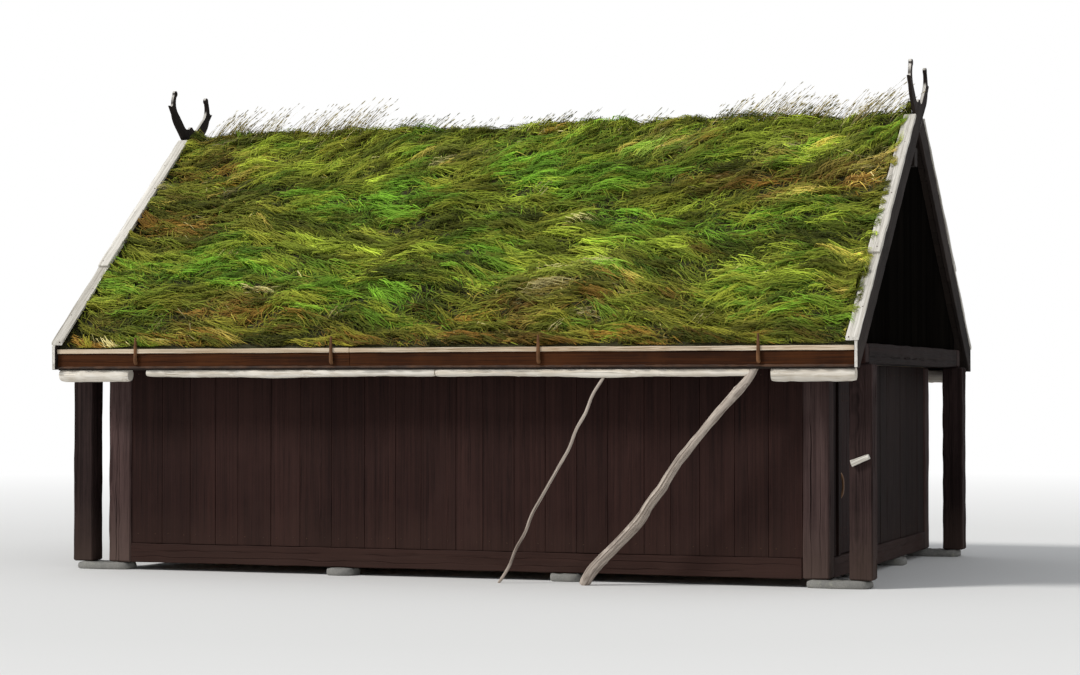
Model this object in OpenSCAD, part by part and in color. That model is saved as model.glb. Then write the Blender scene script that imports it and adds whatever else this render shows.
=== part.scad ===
// A small timber house under a turf roof: sills and posts on flat stones, upright tarred planks
// between the posts, a raftered roof of boards, birch bark and turf, and crossed carved verge boards.
// The ridge runs along X, the front wall faces -Y, and the ground is the plane z = 0.

/* [Roof] */
// Level distance from the face of a gable wall to the outer edge of the verge caps
gable_overhang = 400; // [330:5:600]
// Level distance from the face of a long wall to the outer face of an eave board
eave_overhang = 450; // [400:5:520]
// Pitch of both slopes, in degrees
pitch = 40; // [36:1:43]
// Height of the upper face of the roof boards at the eave
eave_h = 2100; // [1950:10:2400]
// Thickness of the roof boards
deck_t = 30; // [22:1:45]
// Thickness of the layers of birch bark
bark_t = 12; // [6:1:20]
// Thickness of the turf and its matted grass up the slope, square to the roof
turf_t = 242; // [200:1:260]
// Thickness of the turf along the verges, under the caps
turf_verge_t = 184; // [150:1:190]
// Thickness of the turf where it meets the eave board
turf_edge_t = 140; // [90:1:150]
// Height of the lumps in the turf
turf_lump = 32; // [6:1:40]

/* [Walls] */
// Length of the walls over the corner posts
wall_l = 7700; // [6900:50:8700]
// Width of the walls over the corner posts
wall_w = 5100; // [4500:10:5800]
// Width of a corner post along the front
corner_w = 260; // [200:5:320]
// Depth of a corner post across the house
corner_d = 220; // [190:5:260]
// Thickness of the wall planks
plank_t = 60; // [40:2:90]
// Distance of the planks behind the faces of the posts
plank_set = 20; // [5:1:40]
// Side of a post inside the wall
wall_post_w = 160; // [120:5:200]
// Spacing of the wall posts, tie beams and rafters
bay = 1200; // [1000:10:1250]

/* [Sills] */
// Height of a foundation stone
stone_h = 80; // [50:5:140]
// Mean radius of a foundation stone
stone_r = 165; // [120:5:180]
// Height of a sill beam
sill_h = 200; // [140:5:260]
// Width of a sill beam
sill_w = 180; // [140:5:210]
// Thickness of the floor boards
floor_t = 40; // [28:1:60]
// Side of a floor joist
joist_w = 100; // [80:5:120]

/* [Roof frame] */
// Height of the wall plates and tie beams
beam_h = 200; // [150:5:240]
// Width of the wall plates
plate_w = 180; // [150:5:200]
// Width of the tie beams
tie_w = 160; // [120:5:180]
// Width of a rafter
rafter_w = 110; // [80:5:140]
// Depth of a rafter, square to the roof
rafter_d = 130; // [100:5:150]
// Depth of the notches in which the rafters sit
rafter_seat = 60; // [40:1:80]
// Width of the ridge beam
ridge_w = 160; // [120:5:200]
// Height of the ridge beam
ridge_h = 200; // [150:5:240]
// Side of a king post
king_w = 140; // [100:5:160]

/* [Gable overhang] */
// Side of a porch post
porch_post_w = 230; // [180:5:250]
// Distance by which a porch post stands out beyond the verge caps
porch_post_out = 20; // [0:1:40]
// Thickness of the pediment boards
pediment_t = 40; // [25:1:50]
// Distance of the pediment behind the outer edge of the verge cap
pediment_set = 110; // [80:5:150]
// Length of the wedge on the front porch post
wedge_l = 190; // [150:5:195]
// Height of the wedge above the ground
wedge_z = 1220; // [900:10:1600]

/* [Verges] */
// Thickness of a verge board
verge_t = 40; // [30:1:50]
// Depth of a verge board below the upper face of the roof boards
verge_drop = 40; // [32:1:80]
// Height of a verge board above the upper face of the roof boards
verge_rise = 212; // [205:1:240]
// Width of the cap on a verge board
cap_w = 130; // [90:5:160]
// Thickness of a verge cap
cap_t = 30; // [20:1:40]
// Distance by which a cap stands out beyond the verge board
cap_nosing = 10; // [0:1:30]
// Distance from the eave to the joint of the verge boards, along the slope
verge_joint = 1560; // [1000:10:2200]
// Length by which an upper cap laps over the lower cap
cap_lap = 150; // [80:5:250]
// Distance by which the verge boards reach past the eave boards
verge_past = 50; // [46:1:80]
// Distance of the level cut under the foot of a verge board below the eave
verge_foot = 15; // [0:1:50]

/* [Carved verge ends] */
// Length of plain board past the crossing, along the slope
horn_neck = 425; // [380:5:470]
// Depth of the board where its horn starts
horn_w = 142; // [130:2:160]
// Radius of the inner curve of a horn
horn_r = 156; // [140:2:170]
// Distance between the centres of the two curves, which tapers the horn
horn_taper = 84; // [70:2:96]
// Angle through which a horn sweeps
horn_sweep = 84; // [72:1:90]
// Length of the spur on the outer curve of a horn
spur_l = 80; // [50:5:110]
// Radius of the knob at the tip of a horn
horn_knob = 38; // [32:1:44]

/* [Eaves] */
// Thickness of an eave board
eave_board_t = 40; // [28:1:50]
// Height of an eave board above the roof boards
eave_board_h = 150; // [120:5:180]
// Width of the lath on an eave board
lath_w = 56; // [42:2:66]
// Height of the lath on an eave board
lath_h = 48; // [30:2:60]
// Radius of a slender eave log
slender_r = 50; // [40:1:60]
// Radius of a hewn eave log
hewn_r = 85; // [70:1:90]
// Length of a hewn eave log
hewn_l = 800; // [600:10:1000]
// Gap between a hewn log and the next slender log
log_gap = 210; // [190:5:240]
// Width of a wooden hook at the eave
hook_w = 50; // [36:2:70]
// Height of a hook above the lath
hook_rise = 95; // [60:5:140]
// Thickness of both arms of a hook
hook_t = 45; // [35:1:48]
// Length of the arm of a hook that lies under the turf
hook_arm = 420; // [300:10:600]
// Distance of the outer hooks from the ends of the roof
hook_from_end = 967; // [600:10:1500]

/* [Door] */
// Clear width of the doorway
door_w = 850; // [750:10:950]
// Distance of the doorway from the corner post
door_from_corner = 320; // [260:10:900]
// Height of the lintel
lintel_h = 118; // [100:2:160]
// Width of a door jamb
jamb_w = 120; // [90:5:160]
// Depth of the rebate in which the door leaf stops
rebate = 20; // [12:1:30]
// Thickness of the door leaf
leaf_t = 42; // [30:1:60]
// Gap round the door leaf
leaf_gap = 5; // [3:0.5:8]
// Length of the wooden pull on the door leaf
pull_l = 260; // [180:10:320]

/* [Props] */
// Radius of the raking prop at its foot
prop_r = 62; // [45:1:75]
// Level distance from the foot of the raking prop to its head
prop_reach = 1760; // [1400:10:2000]
// Radius of the thin prop
thin_r = 19; // [12:1:26]
// Distance of the head of the thin prop from the outer edge of the roof
thin_from_end = 2516; // [2200:10:3000]
// Level distance from the foot of the thin prop to its head
thin_reach = 1070; // [800:10:1300]

/* [Hidden] */
$fn = 48;

// Roof planes: z at a level distance y from the ridge, n square to the roof boards' upper face
wall_x = wall_l / 2;
wall_y = wall_w / 2;
roof_half = wall_y + eave_overhang;
ridge_z = eave_h + roof_half * tan(pitch);
function deck_z(y, n = 0) = ridge_z - abs(y) * tan(pitch) + n / cos(pitch);

// A point of the front slope, u up the slope from the eave and n square to it, as [y, z].
slope_l = roof_half / cos(pitch);
function on_slope(u, n) = [
    -roof_half + u * cos(pitch) - n * sin(pitch),
    eave_h + u * sin(pitch) + n * cos(pitch)
];

// Timber colours
tar = [0.16, 0.09, 0.07];
tar_black = [0.06, 0.05, 0.05];
post_brown = [0.33, 0.25, 0.22];
pale_wood = [0.78, 0.75, 0.68];
inside_wood = [0.55, 0.42, 0.28];

// Places worked out from the sizes above
end_x = wall_x + gable_overhang;
verge_x = end_x - cap_nosing;
deck_x = verge_x - verge_t;
sill_top = stone_h + sill_h;
plate_top = deck_z(wall_y, -deck_t - rafter_d) + rafter_seat;
plate_bottom = plate_top - beam_h;
ridge_top = deck_z(ridge_w / 2, -deck_t - rafter_d) + rafter_seat;
ridge_bottom = ridge_top - ridge_h;
plank_y = wall_y - plank_set - plank_t;
plank_x = wall_x - plank_set - plank_t;
inner_y = wall_y - plate_w;
bay_count = floor((wall_x - tie_w - rafter_w) / bay);
turf_y = roof_half - eave_board_t;
porch_x = end_x + porch_post_out - porch_post_w;
pediment_x = end_x - pediment_set - pediment_t;

// Mirrored copies across the ridge and across the middle of the house
module both_slopes() {
    children();
    mirror([0, 1, 0]) children();
}

module both_ends() {
    children();
    mirror([1, 0, 0]) children();
}

// A squared timber between two corners
module timber(low, high) {
    translate(low) cube(high - low);
}

// A [y, z] outline run along the house from x0 to x1
module along_x(x0, x1) {
    translate([x0, 0, 0]) rotate([90, 0, 90]) linear_extrude(x1 - x0) children();
}

// Outline of a layer of the front slope between n0 and n1, from y_out to the ridge
module layer(y_out, n0, n1) {
    polygon([
        [-y_out, deck_z(y_out, n0)], [0, deck_z(0, n0)],
        [0, deck_z(0, n1)], [-y_out, deck_z(y_out, n1)]
    ]);
}

// Round timber swept along points, with a radius at each point
function unit(v) = v / norm(v);
function heading(p, i) = unit(p[min(i + 1, len(p) - 1)] - p[max(i - 1, 0)]);
function ring(p, i, r, sides) =
    let (t = heading(p, i), a = unit(cross(t, [0, 1, 0])), b = cross(t, a))
    [for (k = [0 : sides - 1])
        let (turn = 360 * (k + 0.5) / sides) p[i] + r * (cos(turn) * a + sin(turn) * b)];

module round_timber(p, r, sides) {
    last = len(p) - 1;
    points = [for (i = [0 : last]) each ring(p, i, r[i], sides)];
    quads = [for (i = [0 : last - 1], k = [0 : sides - 1])
        let (m = (k + 1) % sides) [i * sides + k, i * sides + m, (i + 1) * sides + m, (i + 1) * sides + k]];
    skin = [for (q = quads) each [[q[0], q[1], q[2]], [q[0], q[2], q[3]]]];
    foot = [for (k = [sides - 1 : -1 : 0]) k];
    head = [for (k = [0 : sides - 1]) last * sides + k];
    polyhedron(points, concat(skin, [foot, head]), convexity = 4);
}

// Foundation: flat field stones, a long one under each corner post and its porch post
stone_corners = 14;
function stone_edge(a, turn) =
    (0.96 + 0.04 * sin(3 * a + turn)) / pow(pow(abs(cos(a)), 4) + pow(abs(sin(a)), 4), 0.25);
module stone(x, y, rx, ry, turn) {
    linear_extrude(stone_h) polygon([for (i = [0 : stone_corners - 1])
        let (a = 360 * (i + 0.5) / stone_corners, r = stone_edge(a, turn))
        [x + rx * r * cos(a), y + ry * r * sin(a)]]);
}

module foundation_stones() {
    long_r = (end_x - wall_x + corner_w) / 2;
    color("gray") both_slopes() both_ends() {
        stone(end_x - long_r, wall_y - corner_d / 2, long_r, stone_r, 10);
        stone(bay, wall_y - sill_w / 2, stone_r, stone_r, 80);
        stone(wall_x - sill_w / 2, wall_y / 3, stone_r, stone_r, 150);
    }
}

// Sill beams, let in between the corner posts
module front_sill() {
    color(tar)
        timber([corner_w - wall_x, -wall_y, stone_h], [wall_x - corner_w, sill_w - wall_y, sill_top]);
}

module back_sill() {
    mirror([0, 1, 0]) front_sill();
}

module gable_sills() {
    color(tar) both_ends()
        timber([wall_x - sill_w, corner_d - wall_y, stone_h], [wall_x, wall_y - corner_d, sill_top]);
}

// Posts
module corner_posts() {
    color(post_brown) both_slopes() both_ends()
        timber([wall_x - corner_w, -wall_y, stone_h], [wall_x, corner_d - wall_y, plate_bottom]);
}

module wall_posts() {
    color(inside_wood) both_slopes() both_ends()
        timber(
            [bay - wall_post_w / 2, -plank_y, sill_top],
            [bay + wall_post_w / 2, wall_post_w - plank_y, plate_bottom]
        );
}

// Walls of upright planks between the posts
module front_wall() {
    color(tar) timber(
        [corner_w - wall_x, -plank_y - plank_t, sill_top],
        [wall_x - corner_w, -plank_y, plate_bottom]
    );
}

module back_wall() {
    mirror([0, 1, 0]) front_wall();
}

module gable_planks(y0, y1) {
    color(tar) timber([plank_x, y0, sill_top], [plank_x + plank_t, y1, plate_bottom]);
}

module left_wall() {
    mirror([1, 0, 0]) gable_planks(corner_d - wall_y, wall_y - corner_d);
}

door_y = corner_d + door_from_corner - wall_y;
module right_wall_front_part() {
    gable_planks(corner_d - wall_y, door_y - jamb_w);
}

module right_wall_back_part() {
    gable_planks(door_y + door_w + jamb_w, wall_y - corner_d);
}

// Planks that close each gable above its tie beam, cut round the ridge beam
module gable_outline(y_out) {
    difference() {
        polygon([
            [-y_out, plate_top], [y_out, plate_top], [y_out, deck_z(y_out, -deck_t)],
            [0, deck_z(0, -deck_t)], [-y_out, deck_z(y_out, -deck_t)]
        ]);
        translate([-ridge_w / 2, ridge_bottom]) square([ridge_w, ridge_h]);
    }
}

module gable_peaks() {
    color(tar) both_ends() along_x(plank_x, plank_x + plank_t) gable_outline(wall_y - plank_set);
}

// Roof frame
module wall_plates() {
    color(tar) both_slopes()
        timber([-deck_x, -wall_y, plate_bottom], [deck_x, -inner_y, plate_top]);
}

module tie_beam(x) {
    timber([x - tie_w / 2, -inner_y, plate_bottom], [x + tie_w / 2, inner_y, plate_top]);
}

module tie_beams() {
    color(inside_wood) both_ends() {
        tie_beam(wall_x - tie_w / 2);
        tie_beam(bay);
    }
}

module king_posts() {
    color(inside_wood) both_ends()
        timber([bay - king_w / 2, -king_w / 2, plate_top], [bay + king_w / 2, king_w / 2, ridge_bottom]);
}

module ridge_beam() {
    color(inside_wood) timber([-deck_x, -ridge_w / 2, ridge_bottom], [deck_x, ridge_w / 2, ridge_top]);
}

// Rafters: one over each bay, one beside each gable and one behind each pediment
rafter_end_y = roof_half - 2 * hewn_r;
rafter_x = concat(
    [for (i = [-bay_count : bay_count]) i * bay],
    [for (s = [-1, 1]) each [s * (pediment_x - rafter_w / 2)]]
);

module rafters_front() {
    color(inside_wood) for (x = rafter_x)
        along_x(x - rafter_w / 2, x + rafter_w / 2) difference() {
            layer(rafter_end_y, -deck_t - rafter_d, -deck_t);
            translate([-wall_y, plate_bottom]) square([plate_w, beam_h]);
            translate([-ridge_w / 2, ridge_bottom]) square([ridge_w, ridge_h]);
        }
}

module rafters_back() {
    mirror([0, 1, 0]) rafters_front();
}

// Roof boards and birch bark
module roof_boards_front() {
    color(inside_wood) along_x(-deck_x, deck_x) layer(roof_half, -deck_t, 0);
}

module roof_boards_back() {
    mirror([0, 1, 0]) roof_boards_front();
}

module birch_bark_front() {
    color("wheat") along_x(-deck_x, deck_x) layer(roof_half, 0, bark_t);
}

module birch_bark_back() {
    mirror([0, 1, 0]) birch_bark_front();
}

// Turf: a lumpy blanket on each slope, thinner at the eave and verges and rounded over the ridge
turf_steps_x = 56;
turf_steps_y = 16;
turf_edge_run = 700;
turf_verge_run = 420;
lump_edge_run = 300;
lump_end_run = 500;
lump_l = 1900;
crest_r = 120;
function ease(s) = s * s * (3 - 2 * s);
function inside(d, run) = ease(max(0, min(1, d / run)));
function wave(s, turn) = sin(360 * s / lump_l + turn);
function lumps(x, y, turn) =
    0.5 * wave(x + 0.6 * y, turn) + 0.3 * wave(2.5 * x - 1.1 * y, 2 * turn)
    + 0.3 * wave(2.3 * y + 0.5 * x, -turn);
function lump_share(x, y) = inside(deck_x - abs(x), lump_end_run) * inside(turf_y + y, lump_edge_run);
function turf_full(x) =
    turf_verge_t + (turf_t - turf_verge_t) * inside(end_x - cap_w - abs(x), turf_verge_run);
function turf_n(x, y, turn) =
    turf_edge_t + (turf_full(x) - turf_edge_t) * inside(turf_y + y, turf_edge_run)
    + turf_lump * (lumps(x, y, turn) - 0.7) * lump_share(x, y);
function turf_top(x, y, turn) = deck_z(sqrt(y * y + crest_r * crest_r), turf_n(x, y, turn) + bark_t);

module turf_blanket(turn) {
    xs = [for (i = [0 : turf_steps_x]) -deck_x + 2 * deck_x * i / turf_steps_x];
    ys = [for (j = [0 : turf_steps_y]) -turf_y * (1 - j / turf_steps_y)];
    row = turf_steps_y + 1;
    top = [for (x = xs, y = ys) [x, y, turf_top(x, y, turn)]];
    low = len(top);
    bottom = [for (x = [-deck_x, deck_x], y = [-turf_y, 0]) [x, y, deck_z(y, bark_t)]];
    skin = [for (i = [0 : turf_steps_x - 1], j = [0 : turf_steps_y - 1])
        let (a = i * row + j, b = a + 1, c = a + row, d = c + 1) each [[a, b, d], [a, d, c]]];
    left_end = [low, low + 1, each [for (j = [turf_steps_y : -1 : 0]) j]];
    right_end = [low + 3, low + 2, each [for (j = [0 : turf_steps_y]) turf_steps_x * row + j]];
    eave_side = [low + 2, low, each [for (i = [0 : turf_steps_x]) i * row]];
    ridge_side = [low + 1, low + 3, each [for (i = [turf_steps_x : -1 : 0]) i * row + turf_steps_y]];
    under = [low, low + 2, low + 3, low + 1];
    sides = [left_end, right_end, eave_side, ridge_side, under];
    polyhedron(concat(top, bottom), concat(skin, sides), convexity = 6);
}

module turf_front() {
    color("olivedrab") difference() {
        turf_blanket(20);
        hooks_front();
    }
}

module turf_back() {
    mirror([0, 1, 0]) turf_front();
}

// Eave boards, which hold the turf, with a pale lath nailed along each
module eave_boards() {
    color("saddlebrown") both_slopes() difference() {
        along_x(-deck_x, deck_x) polygon([
            [-roof_half, deck_z(roof_half, bark_t)], [-turf_y, deck_z(turf_y, bark_t)],
            [-turf_y, eave_h + eave_board_h], [-roof_half, eave_h + eave_board_h]
        ]);
        hooks_front();
    }
}

module eave_laths() {
    color(pale_wood) both_slopes() difference() {
        along_x(-deck_x, deck_x)
            translate([-turf_y - lath_w, eave_h + eave_board_h]) square([lath_w, lath_h]);
        hooks_front();
    }
}

// Natural crooks: the long arm lies on the bark under the turf, the short arm holds the eave board
hook_count = 4;
hook_below = 20;
module hooks_front() {
    first = hook_from_end - end_x;
    step = -2 * first / (hook_count - 1);
    foot_z = eave_h - hook_below;
    tip_z = eave_h + eave_board_h + lath_h + hook_rise;
    for (i = [0 : hook_count - 1])
        along_x(first + i * step - hook_w / 2, first + i * step + hook_w / 2) {
            polygon([
                [-roof_half - hook_t, foot_z], [-roof_half, foot_z], [-roof_half, tip_z],
                [-roof_half - 0.6 * hook_t, tip_z]
            ]);
            polygon([
                [-roof_half, deck_z(roof_half, bark_t)], on_slope(hook_arm, bark_t),
                on_slope(hook_arm, bark_t + hook_t), [-roof_half, deck_z(roof_half, bark_t + hook_t)]
            ]);
        }
}

module eave_hooks() {
    color(post_brown) both_slopes() hooks_front();
}

// Barked eave logs under the edge of the roof boards, hewn flat where the boards bear on them
bearing_flat = 8;
log_clear = 57;
module under_boards() {
    difference() {
        children();
        along_x(-end_x, end_x) layer(roof_half + 2 * hewn_r, -deck_t, 2 * hewn_r);
    }
}

function log_centre(x, r, sway) =
    let (p = on_slope(r * 0.2, bearing_flat - deck_t - r), f = x / end_x)
    [x, p[0] + sway * sin(700 * f), p[1] + 0.5 * sway * sin(470 * f + 40)];
function log_line(x0, x1, rings, r, sway) =
    [for (i = [0 : rings]) log_centre(x0 + (x1 - x0) * i / rings, r, sway)];

// The slender logs are crooked, with a swelling part of the way along
slender_x = end_x - log_clear - hewn_l - log_gap;
slender_sides = 10;
slender_sway = 9;
swell_from_end = 2630;
swell_l = 260;
log_saw = 6;
function slender_radius(x) = slender_r
    * (0.92 + 0.2 * exp(-pow((end_x - swell_from_end - x) / swell_l, 2)) + 0.05 * sin(1850 * x / end_x));
slender_line = log_line(log_saw, slender_x, 18, slender_r, slender_sway);
slender_underside = [for (q = slender_line)
    [q[0], q[2] - slender_radius(q[0]) * cos(180 / slender_sides)]];
module slender_eave_logs() {
    p = slender_line;
    r = [for (q = p) slender_radius(q[0])];
    color(pale_wood) both_slopes() under_boards() both_ends() round_timber(p, r, slender_sides);
}

module hewn_eave_logs() {
    p = log_line(end_x - log_clear - hewn_l, end_x - log_clear, 6, hewn_r, slender_sway / 2);
    r = [for (i = [0 : 6]) hewn_r * (0.97 + 0.04 * sin(173 * i + 20))];
    color(pale_wood) both_slopes() under_boards() both_ends() round_timber(p, r, 8);
}

// Gable overhang: posts under the verges, a beam between the plates and a boarded pediment
module porch_posts() {
    color(post_brown) both_slopes() both_ends()
        timber(
            [porch_x, -wall_y, stone_h],
            [porch_x + porch_post_w, porch_post_w - wall_y, plate_bottom]
        );
}

module porch_beams() {
    color(tar) both_ends() tie_beam(deck_x - tie_w / 2);
}

module pediments() {
    color(tar_black) both_ends() along_x(pediment_x, pediment_x + pediment_t) gable_outline(wall_y);
}

// Verge boards in two lengths, of which the upper ones cross at the ridge and end in carved horns
verge_depth = verge_drop + verge_rise;
module in_slope() {
    translate([-roof_half, eave_h]) rotate(pitch) children();
}

module verge_band(u0, u1) {
    translate([u0, -verge_drop]) square([u1 - u0, verge_depth]);
}

// The foot of a verge is cut plumb in front and level underneath
module cut_foot() {
    intersection() {
        children();
        translate([-roof_half - verge_past, eave_h - verge_foot]) square([2 * roof_half, 2 * ridge_z]);
    }
}

module verge_boards_lower() {
    color(pale_wood) both_slopes() both_ends() along_x(deck_x, verge_x)
        cut_foot() in_slope() verge_band(-verge_depth - verge_past, verge_joint);
}

// Outline of a horn, in [u, n] past the end of its board: two arcs that taper to a knob, and a spur
spur_turn = 40;
spur_sink = 12;
spur_w = 120;
module horn() {
    outer_r = horn_r + horn_w;
    tip = horn_sweep - 90;
    dip = 2;
    translate([0, outer_r - verge_drop]) {
        difference() {
            intersection() {
                circle(outer_r);
                polygon([
                    [0, 0], [0, -2 * outer_r], 3 * outer_r * [cos(-45), sin(-45)],
                    2 * outer_r * [cos(tip), sin(tip)]
                ]);
            }
            translate([horn_taper, -dip]) circle(horn_r);
            translate([-1, -horn_r]) square([horn_taper + 1, outer_r]);
        }
        rotate(tip) translate([outer_r - 0.75 * horn_knob, 0]) circle(horn_knob);
        rotate(tip - spur_turn) translate([outer_r - spur_sink, 0]) polygon([
            [0, -0.53 * spur_w], [0.45 * spur_l, -0.12 * spur_w], [spur_l, 0.42 * spur_w],
            [0.5 * spur_l, 0.3 * spur_w], [0, 0.47 * spur_w]
        ]);
    }
}

// Past the crossing the board is hollowed from its full depth to the depth of the horn
shoulder_past = 195;
module upper_outline() {
    hollow_r = verge_depth - horn_w;
    in_slope() {
        difference() {
            verge_band(verge_joint, slope_l + horn_neck);
            translate([slope_l + shoulder_past + hollow_r, verge_rise]) {
                circle(hollow_r);
                translate([0, -hollow_r]) square([horn_neck, 2 * hollow_r]);
            }
        }
        translate([slope_l + horn_neck, 0]) horn();
    }
}

module verge_boards_upper_front() {
    color(pale_wood) both_ends() difference() {
        along_x(deck_x, verge_x) upper_outline();
        along_x(deck_x - 1, deck_x + verge_t / 2) mirror([1, 0]) upper_outline();
    }
}

module verge_boards_upper_back() {
    color(post_brown) both_ends() difference() {
        along_x(deck_x, verge_x) mirror([1, 0]) upper_outline();
        along_x(deck_x + verge_t / 2, verge_x + 1) upper_outline();
    }
}

// Caps that lie on the verge boards and over the edge of the turf
cap_end_y = (verge_rise + 2 * cap_t + verge_drop) / (2 * sin(pitch));
module verge_caps_lower() {
    foot = -verge_depth - verge_past;
    color(pale_wood) both_slopes() both_ends() along_x(end_x - cap_w, end_x) cut_foot()
        in_slope() translate([foot, verge_rise]) square([verge_joint - foot, cap_t]);
}

module verge_caps_upper() {
    foot = verge_joint - cap_lap;
    color(pale_wood) both_slopes() both_ends() along_x(end_x - cap_w, end_x) difference() {
        polygon([
            on_slope(foot, verge_rise + cap_t), on_slope(verge_joint, verge_rise + cap_t),
            on_slope(verge_joint, verge_rise), on_slope(slope_l, verge_rise),
            on_slope(slope_l, verge_rise + cap_t), on_slope(foot, verge_rise + 2 * cap_t)
        ]);
        translate([-cap_end_y, 0]) square([roof_half, 2 * ridge_z]);
    }
}

// A wedge driven against the front porch post
wedge_t = 46;
wedge_h = 70;
wedge_turn = 20;
module post_wedge() {
    color(pale_wood) translate([porch_x + porch_post_w / 2, -wall_y, wedge_z]) rotate([90, -wedge_turn, 0])
        linear_extrude(wedge_t) polygon([
            [-wedge_l / 2, -0.57 * wedge_h], [wedge_l / 2, -0.31 * wedge_h],
            [wedge_l / 2, 0.37 * wedge_h], [-wedge_l / 2, 0.43 * wedge_h]
        ]);
}

// Crooked barked props that stand under the front eave
prop_in = 55;
prop_head_over = 20;
prop_y = prop_in - roof_half;
prop_bow = 34;
module raking_prop() {
    head_x = slender_x + log_gap / 2;
    foot_x = head_x - prop_reach;
    head_z = deck_z(-prop_y, prop_head_over - deck_t);
    steps = 14;
    p = [for (i = [-1 : steps]) let (s = i / steps) [
        foot_x + prop_reach * s + prop_bow * sin(290 * s),
        prop_y + 0.5 * prop_bow * sin(400 * s),
        head_z * s + 0.9 * prop_bow * sin(220 * s)
    ]];
    r = [for (i = [-1 : steps]) let (s = i / steps) prop_r * (1 - 0.22 * s) * (1 + 0.06 * sin(1500 * s))];
    color(pale_wood) intersection() {
        under_boards() round_timber(p, r, 9);
        translate([0, -roof_half, 0]) cube([2 * end_x, roof_half, ridge_z]);
    }
}

module thin_prop() {
    head_x = end_x - thin_from_end;
    log_y = log_centre(head_x, slender_r, slender_sway)[1];
    head_clear = 0.2;
    head_z = min(
        lookup(head_x - thin_r, slender_underside), lookup(head_x + thin_r, slender_underside)
    ) - head_clear;
    steps = 10;
    p = [for (i = [-1 : steps + 1]) let (s = i / steps)
        [head_x - thin_reach * (1 - s) + 0.4 * prop_bow * sin(360 * s), log_y, head_z * s]];
    r = [for (q = p) thin_r];
    color(pale_wood) intersection() {
        round_timber(p, r, 8);
        translate([0, -roof_half, 0]) cube([2 * end_x, roof_half, head_z]);
    }
}

// Door in the right gable: rebated jambs, a lintel under the tie beam and a plank leaf with a pull
lintel_z = plate_bottom - lintel_h;
module door_jambs() {
    color(tar) for (side = [0, 1])
        translate([0, door_y + side * door_w, sill_top]) mirror([0, side, 0])
            linear_extrude(lintel_z - sill_top) polygon([
                [wall_x - tie_w, -jamb_w], [wall_x, -jamb_w], [wall_x, 0], [plank_x, 0],
                [plank_x, rebate], [wall_x - tie_w, rebate]
            ]);
}

module door_lintel() {
    color(tar) timber(
        [wall_x - tie_w, door_y - jamb_w, lintel_z],
        [wall_x, door_y + door_w + jamb_w, plate_bottom]
    );
}

pull_from_edge = 110;
pull_z = 950;
pull_w = 34;
pull_bow = 38;
module door_leaf() {
    face = plank_x + leaf_t;
    color([0.30, 0.12, 0.09]) union() {
        timber(
            [plank_x, door_y + leaf_gap, sill_top + leaf_gap],
            [face, door_y + door_w - leaf_gap, lintel_z - leaf_gap]
        );
        translate([0, door_y + pull_from_edge + pull_w, pull_z]) rotate([90, 0, 0]) linear_extrude(pull_w)
            difference() {
                polygon([
                    [face - 1, -pull_l / 2], [face + 0.5 * pull_bow, -0.42 * pull_l],
                    [face + pull_bow, -0.2 * pull_l], [face + pull_bow, 0.2 * pull_l],
                    [face + 0.5 * pull_bow, 0.42 * pull_l], [face - 1, pull_l / 2]
                ]);
                polygon([
                    [face, -0.3 * pull_l], [face + 0.5 * pull_bow, -0.18 * pull_l],
                    [face + 0.5 * pull_bow, 0.18 * pull_l], [face, 0.3 * pull_l]
                ]);
            }
    }
}

// Floor: joists between the sills, with boards level with the tops of the sills
module floor_joists() {
    color(inside_wood) for (i = [-bay_count : bay_count])
        timber(
            [i * bay - joist_w / 2, sill_w - wall_y, sill_top - floor_t - joist_w],
            [i * bay + joist_w / 2, wall_y - sill_w, sill_top - floor_t]
        );
}

module floor_boards() {
    color(inside_wood) timber(
        [corner_w - wall_x, sill_w - wall_y, sill_top - floor_t],
        [wall_x - corner_w, wall_y - sill_w, sill_top]
    );
}

foundation_stones();
front_sill();
back_sill();
gable_sills();
corner_posts();
wall_posts();
front_wall();
back_wall();
left_wall();
right_wall_front_part();
right_wall_back_part();
gable_peaks();
wall_plates();
tie_beams();
king_posts();
ridge_beam();
rafters_front();
rafters_back();
roof_boards_front();
roof_boards_back();
birch_bark_front();
birch_bark_back();
turf_front();
turf_back();
eave_boards();
eave_laths();
hewn_eave_logs();
slender_eave_logs();
eave_hooks();
porch_posts();
porch_beams();
pediments();
verge_boards_lower();
verge_boards_upper_front();
verge_boards_upper_back();
verge_caps_lower();
verge_caps_upper();
post_wedge();
raking_prop();
thin_prop();
door_jambs();
door_lintel();
door_leaf();
floor_joists();
floor_boards();
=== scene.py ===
"""A small timber house under a turf roof: tarred plank walls between hewn posts, barked logs and
props at the eave, carved verge boards under pale caps, and long wind-combed grass on the roof."""

import math

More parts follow.
